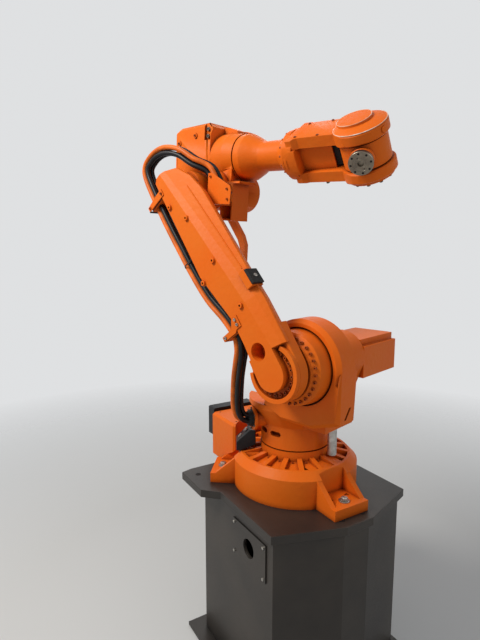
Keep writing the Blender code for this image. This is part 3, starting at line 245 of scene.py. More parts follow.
finishes = {
    "orange_paint": paintedCasting("orangeEnamel", orangeSpec),
    "dark_steel_paint": paintedCasting("plinthPaint", plinthSpec),
    "black_paint": paintedCasting("blackPaint", blackPaintSpec),
    "bare_steel": machinedSteel("zincSteel", (0.52, 0.5, 0.46), (0.33, 0.31, 0.28), 0.36),
    "tool_steel": machinedSteel("oiledFlange", (0.26, 0.225, 0.175), (0.17, 0.145, 0.115), 0.34),
    "black_plastic": softBlack("blackMoulding", (0.007, 0.007, 0.008), 0.42, 300.0, 0.15),
    "black_rubber": softBlack("rubberPad", (0.012, 0.012, 0.012), 0.62, 420.0, 0.3),
    "hose_rubber": softBlack("hoseJacket", (0.006, 0.006, 0.007), 0.4, 160.0, 0.2),
    "painted_hose": softBlack("oversprayedHose", (0.62, 0.125, 0.012), 0.45, 160.0, 0.3),
    "screw_steel": machinedSteel("darkScrew", (0.2, 0.17, 0.14), (0.09, 0.075, 0.06), 0.42),
    "worn_rim_highlight": paintedCasting("wornRimHighlight", wornRimHighlightSpec),
    "screw_painted": paintedCasting("paintedScrew", screwSpec),
    "painted_hole_shade": softBlack("holeShadow", (0.01, 0.008, 0.007), 0.7, 200.0, 0.1),
}
slotOf = {part["node"]: part["material_slot"] for part in frame["record"]["subparts"]}
bodyOf = {node: body for body, nodes in frame["record"]["behaviour"]["bodies"].items() for node in nodes}
print("finishes made:", len(finishes))


# Pieces
def placed(name, mesh, body, finish, replaced=()):
    mesh.name = name
    mesh.materials.clear()
    mesh.materials.append(finishes[finish])
    piece = bpy.data.objects.new(name, mesh)
    scene.collection.objects.link(piece)
    if replaced:
        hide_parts(*replaced)
    if body:
        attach(piece, body)
    return piece


carriers = {
    "base": base, "turret": turret, "lower_arm": lowerArm, "upper_arm": upperArm, "forearm": forearm,
    "tilt": wrist, "tool": wrist,
}

# Shape helpers: each builds into a bmesh in the frame of what carries it
# The turns below point a piece's own +Z the way they are named
faceRight = Matrix.Rotation(math.radians(90), 4, "X")
faceLeft = Matrix.Rotation(math.radians(-90), 4, "X")
faceForward = Matrix.Rotation(math.radians(90), 4, "Y")
faceBack = Matrix.Rotation(math.radians(-90), 4, "Y")
faceDown = Matrix.Rotation(math.radians(180), 4, "X")
faceRear = Matrix(((0, 0, -1, 0), (1, 0, 0, 0), (0, -1, 0, 0), (0, 0, 0, 1)))
orderOf = {
    "XY": lambda u, v, w: (u, v, w), "XZ": lambda u, v, w: (u, w, v), "YZ": lambda u, v, w: (w, u, v),
    "Z": lambda u, v, w: (u, v, w), "Y": lambda u, v, w: (v, w, u), "X": lambda u, v, w: (w, u, v),
}


def skin(bm, rings, closed=False):
    rows = [[bm.verts.new(p) for p in ring] for ring in rings]
    pairs = list(zip(rows[:-1], rows[1:])) + ([(rows[-1], rows[0])] if closed else [])
    count = len(rows[0])
    for low, high in pairs:
        for i in range(count):
            bm.faces.new((low[i], low[(i + 1) % count], high[(i + 1) % count], high[i]))
    if not closed:
        bm.faces.new(rows[0][::-1])
        bm.faces.new(rows[-1])


def prism(outline, start, end, plane="XZ"):
    order = orderOf[plane]
    return lambda bm: skin(bm, [[order(u, v, w) for u, v in outline] for w in (start, end)])


def slab(low, high):
    corners = [(low[0], low[1]), (high[0], low[1]), (high[0], high[1]), (low[0], high[1])]
    return prism(corners, low[2], high[2], "XY")


def arcOf(u, v, r, start, end, count):
    turns = [math.radians(start + (end - start) * i / count) for i in range(count + 1)]
    return [(u + r * math.cos(t), v + r * math.sin(t)) for t in turns]


def turned(profile, sides, axis="Z", at=(0, 0, 0), closed=False):
    order = orderOf[axis]

    def build(bm):
        rings = []
        for r, t in profile:
            ring = [Vector(order(r * math.cos(k), r * math.sin(k), t)) + Vector(at)
                    for k in (2 * math.pi * i / sides for i in range(sides))]
            rings.append(ring)
        skin(bm, rings, closed)
    return build


def solidMesh(build, frameOf, name="shape"):
    bm = bmesh.new()
    for one in (build if isinstance(build, (list, tuple)) else (build,)):
        one(bm)
    bmesh.ops.transform(bm, matrix=frameOf, verts=bm.verts[:])
    bmesh.ops.recalc_face_normals(bm, faces=bm.faces[:])
    mesh = bpy.data.meshes.new(name)
    bm.to_mesh(mesh)
    bm.free()
    return mesh


def broken(mesh, width, cutters=()):
    mesh.shade_smooth()
    mesh.set_sharp_from_angle(angle=math.radians(27))
    work = bpy.data.objects.new("work", mesh)
    scene.collection.objects.link(work)
    helpers = []
    for cutter in cutters:
        helper = bpy.data.objects.new("cutter", cutter)
        scene.collection.objects.link(helper)
        helpers.append(helper)
        carve = work.modifiers.new("carve", "BOOLEAN")
        carve.operation = "DIFFERENCE"
        carve.solver = "EXACT"
        carve.object = helper
    if width:
        bevel = work.modifiers.new("brokenEdge", "BEVEL")
        bevel.width = width
        bevel.segments = 2
        bevel.limit_method = "ANGLE"
        bevel.angle_limit = math.radians(28)
        bevel.use_clamp_overlap = True
        bevel.harden_normals = True
    bpy.context.view_layer.update()
    result = bpy.data.meshes.new_from_object(work.evaluated_get(bpy.context.evaluated_depsgraph_get()))
    for one in [work] + helpers:
        bpy.data.objects.remove(one, do_unlink=True)
    return result


def made(name, body, build, width=0, finish="orange_paint", replaced=(), frameOf=None):
    there = carriers[body] if frameOf is None else frameOf
    mesh = broken(solidMesh(build, there), width)
    return placed(name, mesh, body, finish, replaced)


# The lower arm's outer face falls off to its front edge in two slopes
armSlope = {
    "face": -0.4425, "ridge": -0.424, "edge": -0.4, "beyond": -0.47, "stations": (0.05, 0.32, 1.16),
    "start": (0.078, 0.056, -0.07), "ridgeX": (0.122, 0.108, -0.045), "front": (0.14, 0.138, 0.07),
    "step": 0.004, "past": 0.04, "ribFrom": 0.46, "ribTo": 0.98, "ribShare": 0.5,
    "ribProfile": ((-0.005, 0.004), (-0.002, -0.004), (0.002, -0.004), (0.005, 0.004)),
}


def armSlopeCut(bm):
    spec = armSlope
    rings = []
    for z, x1, x2, x3 in zip(spec["stations"], spec["start"], spec["ridgeX"], spec["front"]):
        near, far = x3 + spec["step"], x3 + spec["past"]
        rings.append([(x1, spec["face"], z), (x2, spec["ridge"], z), (near, spec["edge"], z),
                      (far, spec["edge"], z), (far, spec["beyond"], z), (x1, spec["beyond"], z)])
    skin(bm, rings)


def slopeAt(key, z):
    zs, xs = armSlope["stations"][1:], armSlope[key][1:]
    return xs[0] + (xs[1] - xs[0]) * (z - zs[0]) / (zs[1] - zs[0])


def frontRib(bm):
    spec = armSlope
    share = spec["ribShare"]
    rings = []
    for z in (spec["ribFrom"], spec["ribTo"]):
        x = slopeAt("ridgeX", z) * (1 - share) + slopeAt("front", z) * share
        y = spec["ridge"] * (1 - share) + spec["edge"] * share
        rings.append([(x + u, y + v, z) for u, v in spec["ribProfile"]])
    skin(bm, rings)


# The housing's underside is hollow, and its box is cut back to the real one's front and foot
housing = {
    "binFront": ((0.14, -0.26, -0.2), (0.2, -0.05, 0.03)),
    "binFoot": ((0.04, -0.26, -0.2), (0.2, -0.05, -0.15)),
    "hollow": ((0.064, -0.215, -0.14), (0.131, -0.12, -0.03)), "barrelAt": (-0.08, 0.165),
    "barrelR": 0.1238, "trimFrom": -0.0325, "trimTo": 0.0449, "trimOut": 0.3, "trimFloor": 0.052,
    "trimHalf": 152.0, "trimSteps": 60,
}


def barrelTrim(bm):
    spec = housing
    y, z = spec["barrelAt"]
    rings = []
    for i in range(spec["trimSteps"] + 1):
        t = math.radians(90 - spec["trimHalf"] + 2 * spec["trimHalf"] * i / spec["trimSteps"])
        out = spec["trimOut"]
        if math.sin(t) < 0:
            out = min(out, (z - spec["trimFloor"]) / -math.sin(t))
        rings.append([(x, y + r * math.cos(t), z + r * math.sin(t))
                      for x, r in ((spec["trimFrom"], spec["barrelR"]), (spec["trimTo"], spec["barrelR"]),
                                   (spec["trimTo"], out), (spec["trimFrom"], out))])
    skin(bm, rings)


# The fork's tines have a waist behind the drum
tineFlank = {"from": 0.48, "run": 0.035, "waist": 0.074, "outer": 0.13, "drum": 0.1122, "reach": 0.785,
             "rise": 0.014, "arcEnd": 98, "arcSteps": 12, "lip": 0.015,
             "upper": (0.057, 0.1075), "lower": (-0.1075, -0.057)}


def flankCut(side, level):
    spec = tineFlank
    first = math.degrees(math.asin(spec["waist"] / spec["drum"]))
    line = [(spec["from"], spec["outer"]), (spec["from"], spec["waist"] + spec["rise"]),
            (spec["from"] + spec["run"], spec["waist"])]
    line += arcOf(spec["reach"], 0, spec["drum"], 180 - first, spec["arcEnd"], spec["arcSteps"])
    line += [(spec["reach"] - spec["lip"], spec["outer"])]
    if side < 0:
        line = [(x, -y) for x, y in line[::-1]]
    return prism(line, *spec[level], "XY")


# The front foot's seat has two small pockets
footPockets = (((0.33, 0.04, 0.044), (0.35, 0.06, 0.06)),
               ((0.33, -0.06, 0.044), (0.35, -0.04, 0.06)))
carvings = {
    "wrist_fork": [flankCut(side, level) for side in (1, -1) for level in ("upper", "lower")],
    "lower_arm_casting": [armSlopeCut],
    "arm_housing": [slab(*housing[key]) for key in ("binFront", "binFoot", "hollow")] + [barrelTrim],
    "base_casting": [slab(*pocket) for pocket in footPockets],
}

# Every casting is the CAD's own solid, carved where the real one is, with its edges broken
edgeWidths = {
    "base_casting": 0.0022, "connector_housing": 0.002, "turret_casting": 0.0025,
    "axis2_gear_drum": 0.0012, "axis3_motor_cover": 0.002, "lower_arm_casting": 0.002,
    "elbow_bearing": 0.001, "arm_housing": 0.0025, "housing_rear_cover": 0.0015, "forearm_tube": 0.001,
    "wrist_fork": 0.0025, "fork_lower_cover": 0.0012, "tilt_housing": 0.0015, "parallel_arm": 0.002,
    "parallel_rod": 0.003, "hose_clamp_lower": 0.001, "hose_clamp_upper": 0.001,
    "plinth_top_plate": 0.0015, "plinth_body": 0.002, "plinth_cable_panel": 0.0008,
    "plinth_floor_plate": 0.0015, "stop_pin": 0.0012, "damper_pad": 0.0012, "hose_gland": 0.001,
    "rod_pin_lower": 0.0008, "rod_pin_upper": 0.0008,
}
finishOf = {"hose_clamp_upper": "orange_paint"}


def dressed(node, width):
    bm = bmesh.new()
    bm.from_mesh(frame["nodes"][node].data)
    bmesh.ops.remove_doubles(bm, verts=bm.verts[:], dist=0.00002)
    bmesh.ops.dissolve_limit(bm, angle_limit=math.radians(0.6), verts=bm.verts[:], edges=bm.edges[:])
    mesh = bpy.data.meshes.new(node + "Dressed")
    bm.to_mesh(mesh)
    bm.free()
    cutters = [solidMesh(build, carriers[bodyOf[node]], "cutter") for build in carvings.get(node, ())]
    result = broken(mesh, width, cutters)
    finish = finishOf.get(node, slotOf[node])
    return placed(node + "_finish", result, bodyOf[node], finish, (node,))


for node, width in edgeWidths.items():
    dressed(node, width)
print("castings dressed:", len(edgeWidths))

# Fasteners: one tree for heads on a ring, one for heads at marked places, both round the same head
headInputs = [
    ("Head Radius", "NodeSocketFloat", 0.008), ("Head Height", "NodeSocketFloat", 0.008),
    ("Sides", "NodeSocketInt", 18), ("Socket Share", "NodeSocketFloat", 0.55),
    ("Socket Depth", "NodeSocketFloat", 0.6),
]
ringInputs = [
    ("Count", "NodeSocketInt", 12), ("Ring Radius", "NodeSocketFloat", 0.1),
    ("Start", "NodeSocketFloat", 0.0), ("Sweep", "NodeSocketFloat", 6.2832), ("Seed", "NodeSocketInt", 3),
]


def newTree(name, inputs):
    tree = bpy.data.node_groups.new(name, "GeometryNodeTree")
    tree.interface.new_socket("Geometry", in_out="INPUT", socket_type="NodeSocketGeometry")
    for label, kind, value in inputs:
        socket = tree.interface.new_socket(label, in_out="INPUT", socket_type=kind)
        socket.default_value = value
    tree.interface.new_socket("Finish", in_out="INPUT", socket_type="NodeSocketMaterial")
    tree.interface.new_socket("Geometry", in_out="OUTPUT", socket_type="NodeSocketGeometry")
    return tree, tree.nodes.new("NodeGroupInput").outputs


def buildHeadTree():
    tree, given = newTree("screwHead", headInputs)
    add, link = tree.nodes.new, tree.links.new
    head = add("GeometryNodeMeshCylinder")
    link(given["Sides"], head.inputs["Vertices"])
    link(given["Head Radius"], head.inputs["Radius"])
    link(given["Head Height"], head.inputs["Depth"])
    inset = add("GeometryNodeExtrudeMesh")
    inset.mode = "FACES"
    inset.inputs["Offset Scale"].default_value = 0.0
    link(head.outputs["Mesh"], inset.inputs["Mesh"])
    link(head.outputs["Top"], inset.inputs["Selection"])
    shrink = add("GeometryNodeScaleElements")
    link(inset.outputs["Mesh"], shrink.inputs["Geometry"])
    link(inset.outputs["Top"], shrink.inputs["Selection"])
    link(given["Socket Share"], shrink.inputs["Scale"])
    deep = add("ShaderNodeMath")
    deep.operation = "MULTIPLY"
    link(given["Head Height"], deep.inputs[0])
    link(given["Socket Depth"], deep.inputs[1])
    down = add("ShaderNodeMath")
    down.operation = "MULTIPLY"
    down.inputs[1].default_value = -1.0
    link(deep.outputs[0], down.inputs[0])
    sink = add("GeometryNodeExtrudeMesh")
    sink.mode = "FACES"
    link(shrink.outputs["Geometry"], sink.inputs["Mesh"])
    link(inset.outputs["Top"], sink.inputs["Selection"])
    link(down.outputs[0], sink.inputs["Offset Scale"])
    lift = add("ShaderNodeMath")
    lift.operation = "MULTIPLY"
    lift.inputs[1].default_value = 0.5
    link(given["Head Height"], lift.inputs[0])
    up = add("ShaderNodeCombineXYZ")
    link(lift.outputs[0], up.inputs["Z"])
    raised = add("GeometryNodeTransform")
    link(sink.outputs["Mesh"], raised.inputs["Geometry"])
    link(up.outputs[0], raised.inputs["Translation"])
    link(raised.outputs[0], add("NodeGroupOutput").inputs[0])
    return tree


headTree = buildHeadTree()


def headOn(tree, given, points):
    add, link = tree.nodes.new, tree.links.new
    head = add("GeometryNodeGroup")
    head.node_tree = headTree
    for label, kind, value in headInputs:
        link(given[label], head.inputs[label])
    spin = add("FunctionNodeRandomValue")
    spin.data_type = "FLOAT_VECTOR"
    spin.inputs["Max"].default_value = (0, 0, 6.2832)
    link(given["Seed"], spin.inputs["Seed"])
    spread = add("GeometryNodeInstanceOnPoints")
    link(points, spread.inputs["Points"])
    link(head.outputs[0], spread.inputs["Instance"])
    link(spin.outputs[0], spread.inputs["Rotation"])
    real = add("GeometryNodeRealizeInstances")
    link(spread.outputs[0], real.inputs[0])
    dress = add("GeometryNodeSetMaterial")
    link(real.outputs[0], dress.inputs["Geometry"])
    link(given["Finish"], dress.inputs["Material"])
    link(dress.outputs[0], add("NodeGroupOutput").inputs[0])


def buildRingTree():
    tree, given = newTree("screwRing", headInputs + ringInputs)
    add, link = tree.nodes.new, tree.links.new
    arc = add("GeometryNodeCurveArc")
    for socket, label in (("Resolution", "Count"), ("Radius", "Ring Radius"), ("Start Angle", "Start"),
                          ("Sweep Angle", "Sweep")):
        link(given[label], arc.inputs[socket])
    points = add("GeometryNodeCurveToPoints")
    points.mode = "EVALUATED"
    link(arc.outputs[0], points.inputs["Curve"])
    headOn(tree, given, points.outputs["Points"])
    return tree


def buildSpotTree():
    tree, given = newTree("screwSpots", headInputs + [("Seed", "NodeSocketInt", 3)])
    points = tree.nodes.new("GeometryNodeMeshToPoints")
    tree.links.new(given["Geometry"], points.inputs["Mesh"])
    headOn(tree, given, points.outputs["Points"])
    return tree


ringTree, spotTree = buildRingTree(), buildSpotTree()


def fasteners(spec):
    mesh = bpy.data.meshes.new("work")
    tree = ringTree
    if "spots" in spec:
        tree = spotTree
        mesh.from_pydata([(*spot, 0.0) for spot in spec["spots"]], [], [])
    work = bpy.data.objects.new("work", mesh)
    scene.collection.objects.link(work)
    modifier = work.modifiers.new("screws", "NODES")
    modifier.node_group = tree
    ids = {item.name: item.identifier for item in tree.interface.items_tree if item.in_out == "INPUT"}
    values = {"Head Radius": spec["head"], "Head Height": spec["height"], "Sides": spec.get("sides", 18),
              "Socket Share": spec.get("socket", 0.55), "Socket Depth": spec.get("deep", 0.6)}
    if "spots" not in spec:
        start, end = spec.get("arc", (0, 360 * (1 - 1 / spec["count"])))
        values.update({"Count": spec["count"], "Ring Radius": spec["ring"], "Start": math.radians(start),
                       "Sweep": math.radians(end - start)})
    for label, value in values.items():
        modifier[ids[label]] = value
    modifier[ids["Finish"]] = finishes[spec["finish"]]
    bpy.context.view_layer.update()
    mesh = bpy.data.meshes.new_from_object(work.evaluated_get(bpy.context.evaluated_depsgraph_get()))
    bpy.data.objects.remove(work, do_unlink=True)
    mesh.transform(spec["frame"])
    mesh.shade_smooth()
    mesh.set_sharp_from_angle(angle=math.radians(35))
    return placed(spec["name"], mesh, spec["body"], spec["finish"])


def at(frameOf, x, y, z, turn=None):
    there = frameOf @ Matrix.Translation((x, y, z))
    return there @ turn if turn else there


entryFrame = at(stand(turret, (0, 0, 0), "Z", -117), 0.235, 0, 0.36, faceForward)
stopFrame = stand(base, (0, 0, 0), "Z", -120)
stopFace = stand(stopFrame, (0.27, 0, 0.2547), "Y", 50)
hexBolt = {"sides": 6, "socket": 0.86, "deep": -0.12}
dark = {"finish": "screw_steel"}
painted = {"finish": "screw_painted", "slot": "orange_paint"}
# Holes are thin dark discs: painted shade inside the holes
holes = {"finish": "painted_hole_shade", "height": 0.0006, "socket": 0.7, "deep": 0.3, "slot": "black_plastic"}
fastenerSets = [
    {"name": "hubScrews", "body": "lower_arm", **painted, "count": 15, "ring": 0.0945, "head": 0.0072,
     "height": 0.01, "sides": 20, "arc": (-205, 33), "frame": at(lowerArm, 0, -0.4045, 0, faceRight)},
    {"name": "drumScrews", "body": "turret", **painted, "count": 30, "ring": 0.149, "head": 0.006,
     "height": 0.009, "frame": at(turret, 0.2, -0.3185, 0.68, faceRight)},
    {"name": "clampScrews", "body": "lower_arm", "finish": "bare_steel", "head": 0.0068, "height": 0.006,
     "spots": [(-0.034, 0.286), (-0.034, 0.262), (-0.132, 0.2475)],
     "frame": at(lowerArm, 0, -0.4465, 0, faceRight)},
    {"name": "highClampScrews", "body": "lower_arm", **painted, "head": 0.006, "height": 0.006,
     "spots": [(-0.108, 1.052), (-0.22, 1.052)], "frame": at(lowerArm, 0, -0.4465, 0, faceRight)},
    {"name": "padScrew", "body": "lower_arm", "finish": "bare_steel", "head": 0.0085, "height": 0.004,
     "sides": 24, "spots": [(0, 0)], "frame": at(lowerArm, 0.144, -0.402, 0.3985, faceForward)},
    {"name": "recessBolts", "body": "upper_arm", **dark, "head": 0.0095, "height": 0.008,
     "spots": [(-0.056, 0.302), (-0.056, 0.268)], "frame": at(upperArm, 0, -0.1932, 0, faceRight)},
    {"name": "bossScrews", "body": "upper_arm", **painted, "head": 0.0068, "height": 0.005,
     "spots": [(-0.275, 0.245), (-0.145, 0.275), (-0.285, 0.1)],
     "frame": at(upperArm, 0, -0.2105, 0, faceRight)},
    {"name": "hosePlateScrews", "body": "upper_arm", **painted, "head": 0.0052, "height": 0.004,
     "spots": [(0.122, 0.048), (0.236, -0.01), (0.24, -0.056), (0.122, -0.062)],
     "frame": at(upperArm, 0, -0.3338, 0, faceRight)},
    {"name": "binScrews", "body": "upper_arm", **dark, **hexBolt, "head": 0.0085, "height": 0.007,
     "spots": [(0.085, -0.055), (0.112, -0.055), (0.078, -0.122), (0.12, -0.122)],
     "frame": at(upperArm, 0, -0.1195, 0, faceRight)},
    {"name": "rearCoverScrews", "body": "upper_arm", **painted, "head": 0.0065, "height": 0.005,
     "spots": [(x, y) for x in (0.005, -0.165) for y in (-0.262, -0.178, -0.094)],
     "frame": at(upperArm, -0.3318, 0, 0, faceRear)},
    {"name": "tubeFlangeScrews", "body": "forearm", **painted, "count": 16, "ring": 0.0985, "head": 0.0052,
     "height": 0.007, "frame": at(forearm, 0.4135, 0, 0, faceBack)},
    {"name": "forkTopScrews", "body": "forearm", **painted, "head": 0.006, "height": 0.004,
     "spots": [(0.5, 0.062), (0.5, -0.062), (0.62, 0.066), (0.62, -0.066)],
     "frame": at(forearm, 0, 0, 0.1058)},
    {"name": "forkFootBolts", "body": "forearm", **dark, **hexBolt, "count": 10, "ring": 0.082,
     "head": 0.0085, "height": 0.009, "frame": at(forearm, 0.785, 0, -0.118, faceDown)},
    {"name": "forkRimBolts", "body": "forearm", **dark, **hexBolt, "head": 0.0088, "height": 0.012,
     "spots": [(0.712, 0.068), (0.712, -0.068), (0.6, 0.058), (0.6, -0.058)],
     "frame": at(forearm, 0, 0, -0.1055, faceDown)},
    {"name": "flangeHoles", "body": "tool", **holes, "count": 8, "ring": 0.0405, "head": 0.0046,
     "frame": at(wrist, 0.1399, 0, 0, faceForward)},
    {"name": "flangePins", "body": "tool", **holes, "count": 2, "ring": 0.0255, "head": 0.0022,
     "arc": (20, 200), "frame": at(wrist, 0.1399, 0, 0, faceForward)},
    {"name": "stopScrews", "body": "base", "finish": "bare_steel", "head": 0.0125, "height": 0.005,
     "sides": 22, "spots": [(-0.022, 0.0), (0.022, 0.0)], "frame": stopFace},
    {"name": "entryScrews", "body": "turret", **dark, "count": 6, "ring": 0.0525, "head": 0.005,
     "height": 0.005, "frame": entryFrame @ Matrix.Translation((0, 0, 0.005))},
    {"name": "neckScrews", "body": "base", **painted, "count": 18, "ring": 0.189, "head": 0.005,
     "height": 0.016, "frame": at(base, 0, 0, 0.158)},
    {"name": "vaneHoles", "body": "base", **holes, "count": 18, "ring": 0.25, "head": 0.0048,
     "arc": (10, 350), "frame": at(base, 0, 0, 0.1748)},
    {"name": "portScrews", "body": "base", **holes, "head": 0.005,
     "spots": [(-0.445, -0.2), (-0.445, 0.11), (-0.26, -0.2), (-0.26, 0.11), (-0.4, -0.1)],
     "frame": at(base, 0, 0, 0.268)},
    {"name": "panelScrews", "body": "base", "finish": "bare_steel", **hexBolt, "head": 0.0075,
     "height": 0.006, "spots": [(x, z) for x in (0.045, 0.295) for z in (-0.25, -0.1)],
     "frame": at(base, 0, -0.3892, 0, faceRight)},
    {"name": "plateHoles", "body": "base", **holes, "head": 0.015,
     "spots": [(-0.301, -0.414), (-0.301, 0.414), (-0.33, 0.0), (0.43, -0.06), (0.43, 0.06)],
     "frame": at(base, 0, 0, -0.0004)},
    {"name": "motorCoverScrews", "body": "turret", **painted, "head": 0.006, "height": 0.004,
     "spots": [(0.1, -0.6), (0.1, -0.745), (0.275, -0.745), (0.298, -0.6)],
     "frame": at(turret, 0, 0.43, 0, faceLeft)},
    {"name": "leverScrews", "body": "parallel_arm", **painted, "count": 10, "ring": 0.072, "head": 0.0062,
     "height": 0.006, "frame": stand(turret, (0.2, -0.0338, 0.68), "Y", 4.0) @ faceRight},
]
for spec in fastenerSets:
    fasteners(spec)
print("fastener sets:", len(fastenerSets))

# Lower arm: hub rim, rib, bosses
hub = {
    "outer": 0.1295, "inner": 0.109, "from": -208, "to": 38, "face": -0.4225, "foot": -0.4, "steps": 56,
    "edge": 0.0025,
}
hubLine = arcOf(0, 0, hub["outer"], hub["from"], hub["to"], hub["steps"])
hubLine += arcOf(0, 0, hub["inner"], hub["to"], hub["from"], hub["steps"])
made("hubRim", "lower_arm", prism(hubLine, hub["face"], hub["foot"]), hub["edge"])
made("frontRib", "lower_arm", frontRib, 0.0008)
armBosses = {
    "spots": ((-0.03, 0.839), (0.001, 0.575), (0.03, 0.319), (-0.098, 0.957), (-0.112, 0.527)),
    "sides": 20,
    "profile": [(0.015, -0.4395), (0.0125, -0.443), (0.0125, -0.451), (0.011, -0.4525), (0.0052, -0.4525),
                (0.0052, -0.4435)],
    "boreProfile": [(0.0053, -0.446), (0.0053, -0.4445)], "boreSides": 12,
}
bosses = [turned(armBosses["profile"], armBosses["sides"], "Y", (x, 0, z)) for x, z in armBosses["spots"]]
made("armBosses", "lower_arm", bosses)
# Dark discs in the bores: painted shade
bores = [turned(armBosses["boreProfile"], armBosses["boreSides"], "Y", (x, 0, z))
         for x, z in armBosses["spots"]]
made("bossBores", "lower_arm", bores, 0, "painted_hole_shade")

# Hose straps, the seat of the pad and the cable tie
strapSpec = {
    "face": -0.4465, "foot": -0.4418, "edge": 0.001,
    "low": [(-0.15, 0.236), (-0.15, 0.26), (-0.08, 0.262), (-0.054, 0.3), (-0.018, 0.3), (-0.018, 0.246),
            (-0.05, 0.246), (-0.064, 0.236)],
    "lowEnd": ((-0.1505, -0.4465, 0.236), (-0.1455, -0.362, 0.26)),
    "high": [(-0.236, 1.04), (-0.236, 1.064), (-0.15, 1.072), (-0.098, 1.072), (-0.098, 1.036),
             (-0.15, 1.038)],
    "highLip": ((-0.238, -0.4465, 1.036), (-0.23, -0.36, 1.042)),
}
made("lowStrap", "lower_arm", prism(strapSpec["low"], strapSpec["face"], strapSpec["foot"]),
     strapSpec["edge"])
made("lowStrapEnd", "lower_arm", slab(*strapSpec["lowEnd"]), strapSpec["edge"])
made("highStrap", "lower_arm", prism(strapSpec["high"], strapSpec["face"], strapSpec["foot"]),
     strapSpec["edge"])
made("highStrapLip", "lower_arm", slab(*strapSpec["highLip"]), strapSpec["edge"], "black_paint")
padSeat = [(0.098, 0.356), (0.133, 0.356), (0.1275, 0.441), (0.092, 0.441)]
made("padSeatBlock", "lower_arm", prism(padSeat, -0.4375, -0.366), 0.0015)
tieSpec = {
    "at": (-0.1805, -0.395, 0.676), "sides": 32,
    "profile": [(0.033, -0.0028), (0.0348, -0.0028), (0.0348, 0.0028), (0.033, 0.0028)],
    "tail": ((-0.15, -0.43, 0.6735), (-0.12, -0.4275, 0.6785)),
}
made("hoseTie", "lower_arm", turned(tieSpec["profile"], tieSpec["sides"], "Z", tieSpec["at"], closed=True),
     finish="black_plastic")
made("hoseTieTail", "lower_arm", slab(*tieSpec["tail"]), finish="black_plastic")

# Wrist: domed cover, its worn rims with a painted highlight, the palm, painted shade in the gap, the tool
# flange
wristSpec = {
    "reach": 0.785, "capShift": -0.02, "sides": 64,
    "dome": ((0.1085, 0.1, 0.0), (0.1085, 0.1075, 0.0), (0.104, 0.1105, 0.1), (0.08, 0.119, 0.75),
             (0.0735, 0.1215, 1.0), (0.072, 0.129, 1.0), (0.07, 0.1312, 1.0), (0.062, 0.1318, 1.0)),
    "rims": (("domeRim", 0.0704, 0.1301, 0.0021, 0.765), ("shoulderRim", 0.1084, 0.1064, 0.0019, 0.785)),
    "palm": {"half": 0.059, "arcR": 0.136, "turn": 17.0, "steps": 16,
             "side": [(0.46, 0.06), (0.54, 0.046), (0.61, 0.04)]},
    "gapShade": {"half": 0.05, "arcR": 0.108, "turn": 15.0, "steps": 10, "side": [(0.62, 0.03)]},
}


def domeCover(bm):
    sides = wristSpec["sides"]
    turns = [2 * math.pi * i / sides for i in range(sides)]
    rings = []
    for r, z, shift in wristSpec["dome"]:
        x = wristSpec["reach"] + wristSpec["capShift"] * shift
        rings.append([(x + r * math.cos(t), r * math.sin(t), z) for t in turns])
    skin(bm, rings)


def palmShape(spec):
    hollow = arcOf(wristSpec["reach"], 0, spec["arcR"], 180 - spec["turn"], 180 + spec["turn"],
                   spec["steps"])
    line = spec["side"] + hollow + [(x, -y) for x, y in spec["side"][::-1]]
    return prism(line, -spec["half"], spec["half"], "XY")


made("wristDome", "forearm", domeCover, replaced=("fork_cap",))
# Rims of worn paint, their bright cream a painted highlight
for name, r, z, thick, x in wristSpec["rims"]:
    made(name, "forearm", turned(arcOf(r, z, thick, 0, 315, 7), 72, "Z", (x, 0, 0), closed=True), 0,
         "worn_rim_highlight")
made("forkPalm", "forearm", palmShape(wristSpec["palm"]), 0.002)
# A black block in the gap between the palm and the drum: painted shade of the opening
made("palmGapShade", "forearm", palmShape(wristSpec["gapShade"]), 0.002, "black_rubber")
seamLips = [(0.0995, 0.4135), (0.1045, 0.415), (0.1045, 0.427), (0.093, 0.4285), (0.093, 0.431),
            (0.1075, 0.4325), (0.1075, 0.446), (0.101, 0.45)]
made("seamLips", "forearm", turned(seamLips, 64, "X"), 0.0008)
drumLug = turned([(0.012, 0.108), (0.012, 0.116), (0.0105, 0.1175)], 20, "X", (0, 0, 0.082))
made("drumLug", "forearm", drumLug, frameOf=stand(forearm, (wristSpec["reach"], 0, 0), "Z", -12.0))
neckLip = [(0.0465, 0.095), (0.05, 0.0985), (0.05, 0.113), (0.048, 0.116), (0.044, 0.1165)]
made("neckLip", "tilt", turned(neckLip, 48, "X"))
flangeLine = [
    (0.043, 0.1204), (0.047, 0.1204), (0.05, 0.124), (0.05, 0.1385), (0.0488, 0.1398), (0.032, 0.1398),
    (0.0314, 0.1386), (0.0205, 0.1386), (0.02, 0.1396), (0.013, 0.1396), (0.0122, 0.138), (0.012, 0.129),
]
made("flangeFace", "tool", turned(flangeLine, 64, "X"), 0, "tool_steel", replaced=("tool_flange",))

# Upper arm: the plate that hides the hose entries, and the blocks behind the barrel
plateSpec = {
    "line": [(0.104, 0.064), (0.128, 0.066), (0.252, 0.004), (0.26, -0.014), (0.256, -0.078),
             (0.104, -0.078)],
    "face": -0.3322, "back": -0.327, "arm": ((0.1042, -0.33, -0.078), (0.13, -0.2003, -0.05)),
    "fold": ((0.104, -0.33, -0.05), (0.1085, -0.315, 0.062)),
}
made("hosePlate", "upper_arm",
     [prism(plateSpec["line"], plateSpec["face"], plateSpec["back"]), slab(*plateSpec["arm"]),
      slab(*plateSpec["fold"])], 0.0008, replaced=("hose_bracket_plate",))
topBlock = [(-0.04, 0.262), (0.07, 0.262), (0.058, 0.3), (0.004, 0.318), (-0.04, 0.322)]
made("barrelTopBlock", "upper_arm", prism(topBlock, -0.105, -0.03), 0.003)
topLug = [(0.02, 0.27), (0.09, 0.27), (0.074, 0.3), (0.04, 0.308)]
made("barrelTopLug", "upper_arm", prism(topLug, -0.03, 0.0), 0.002)

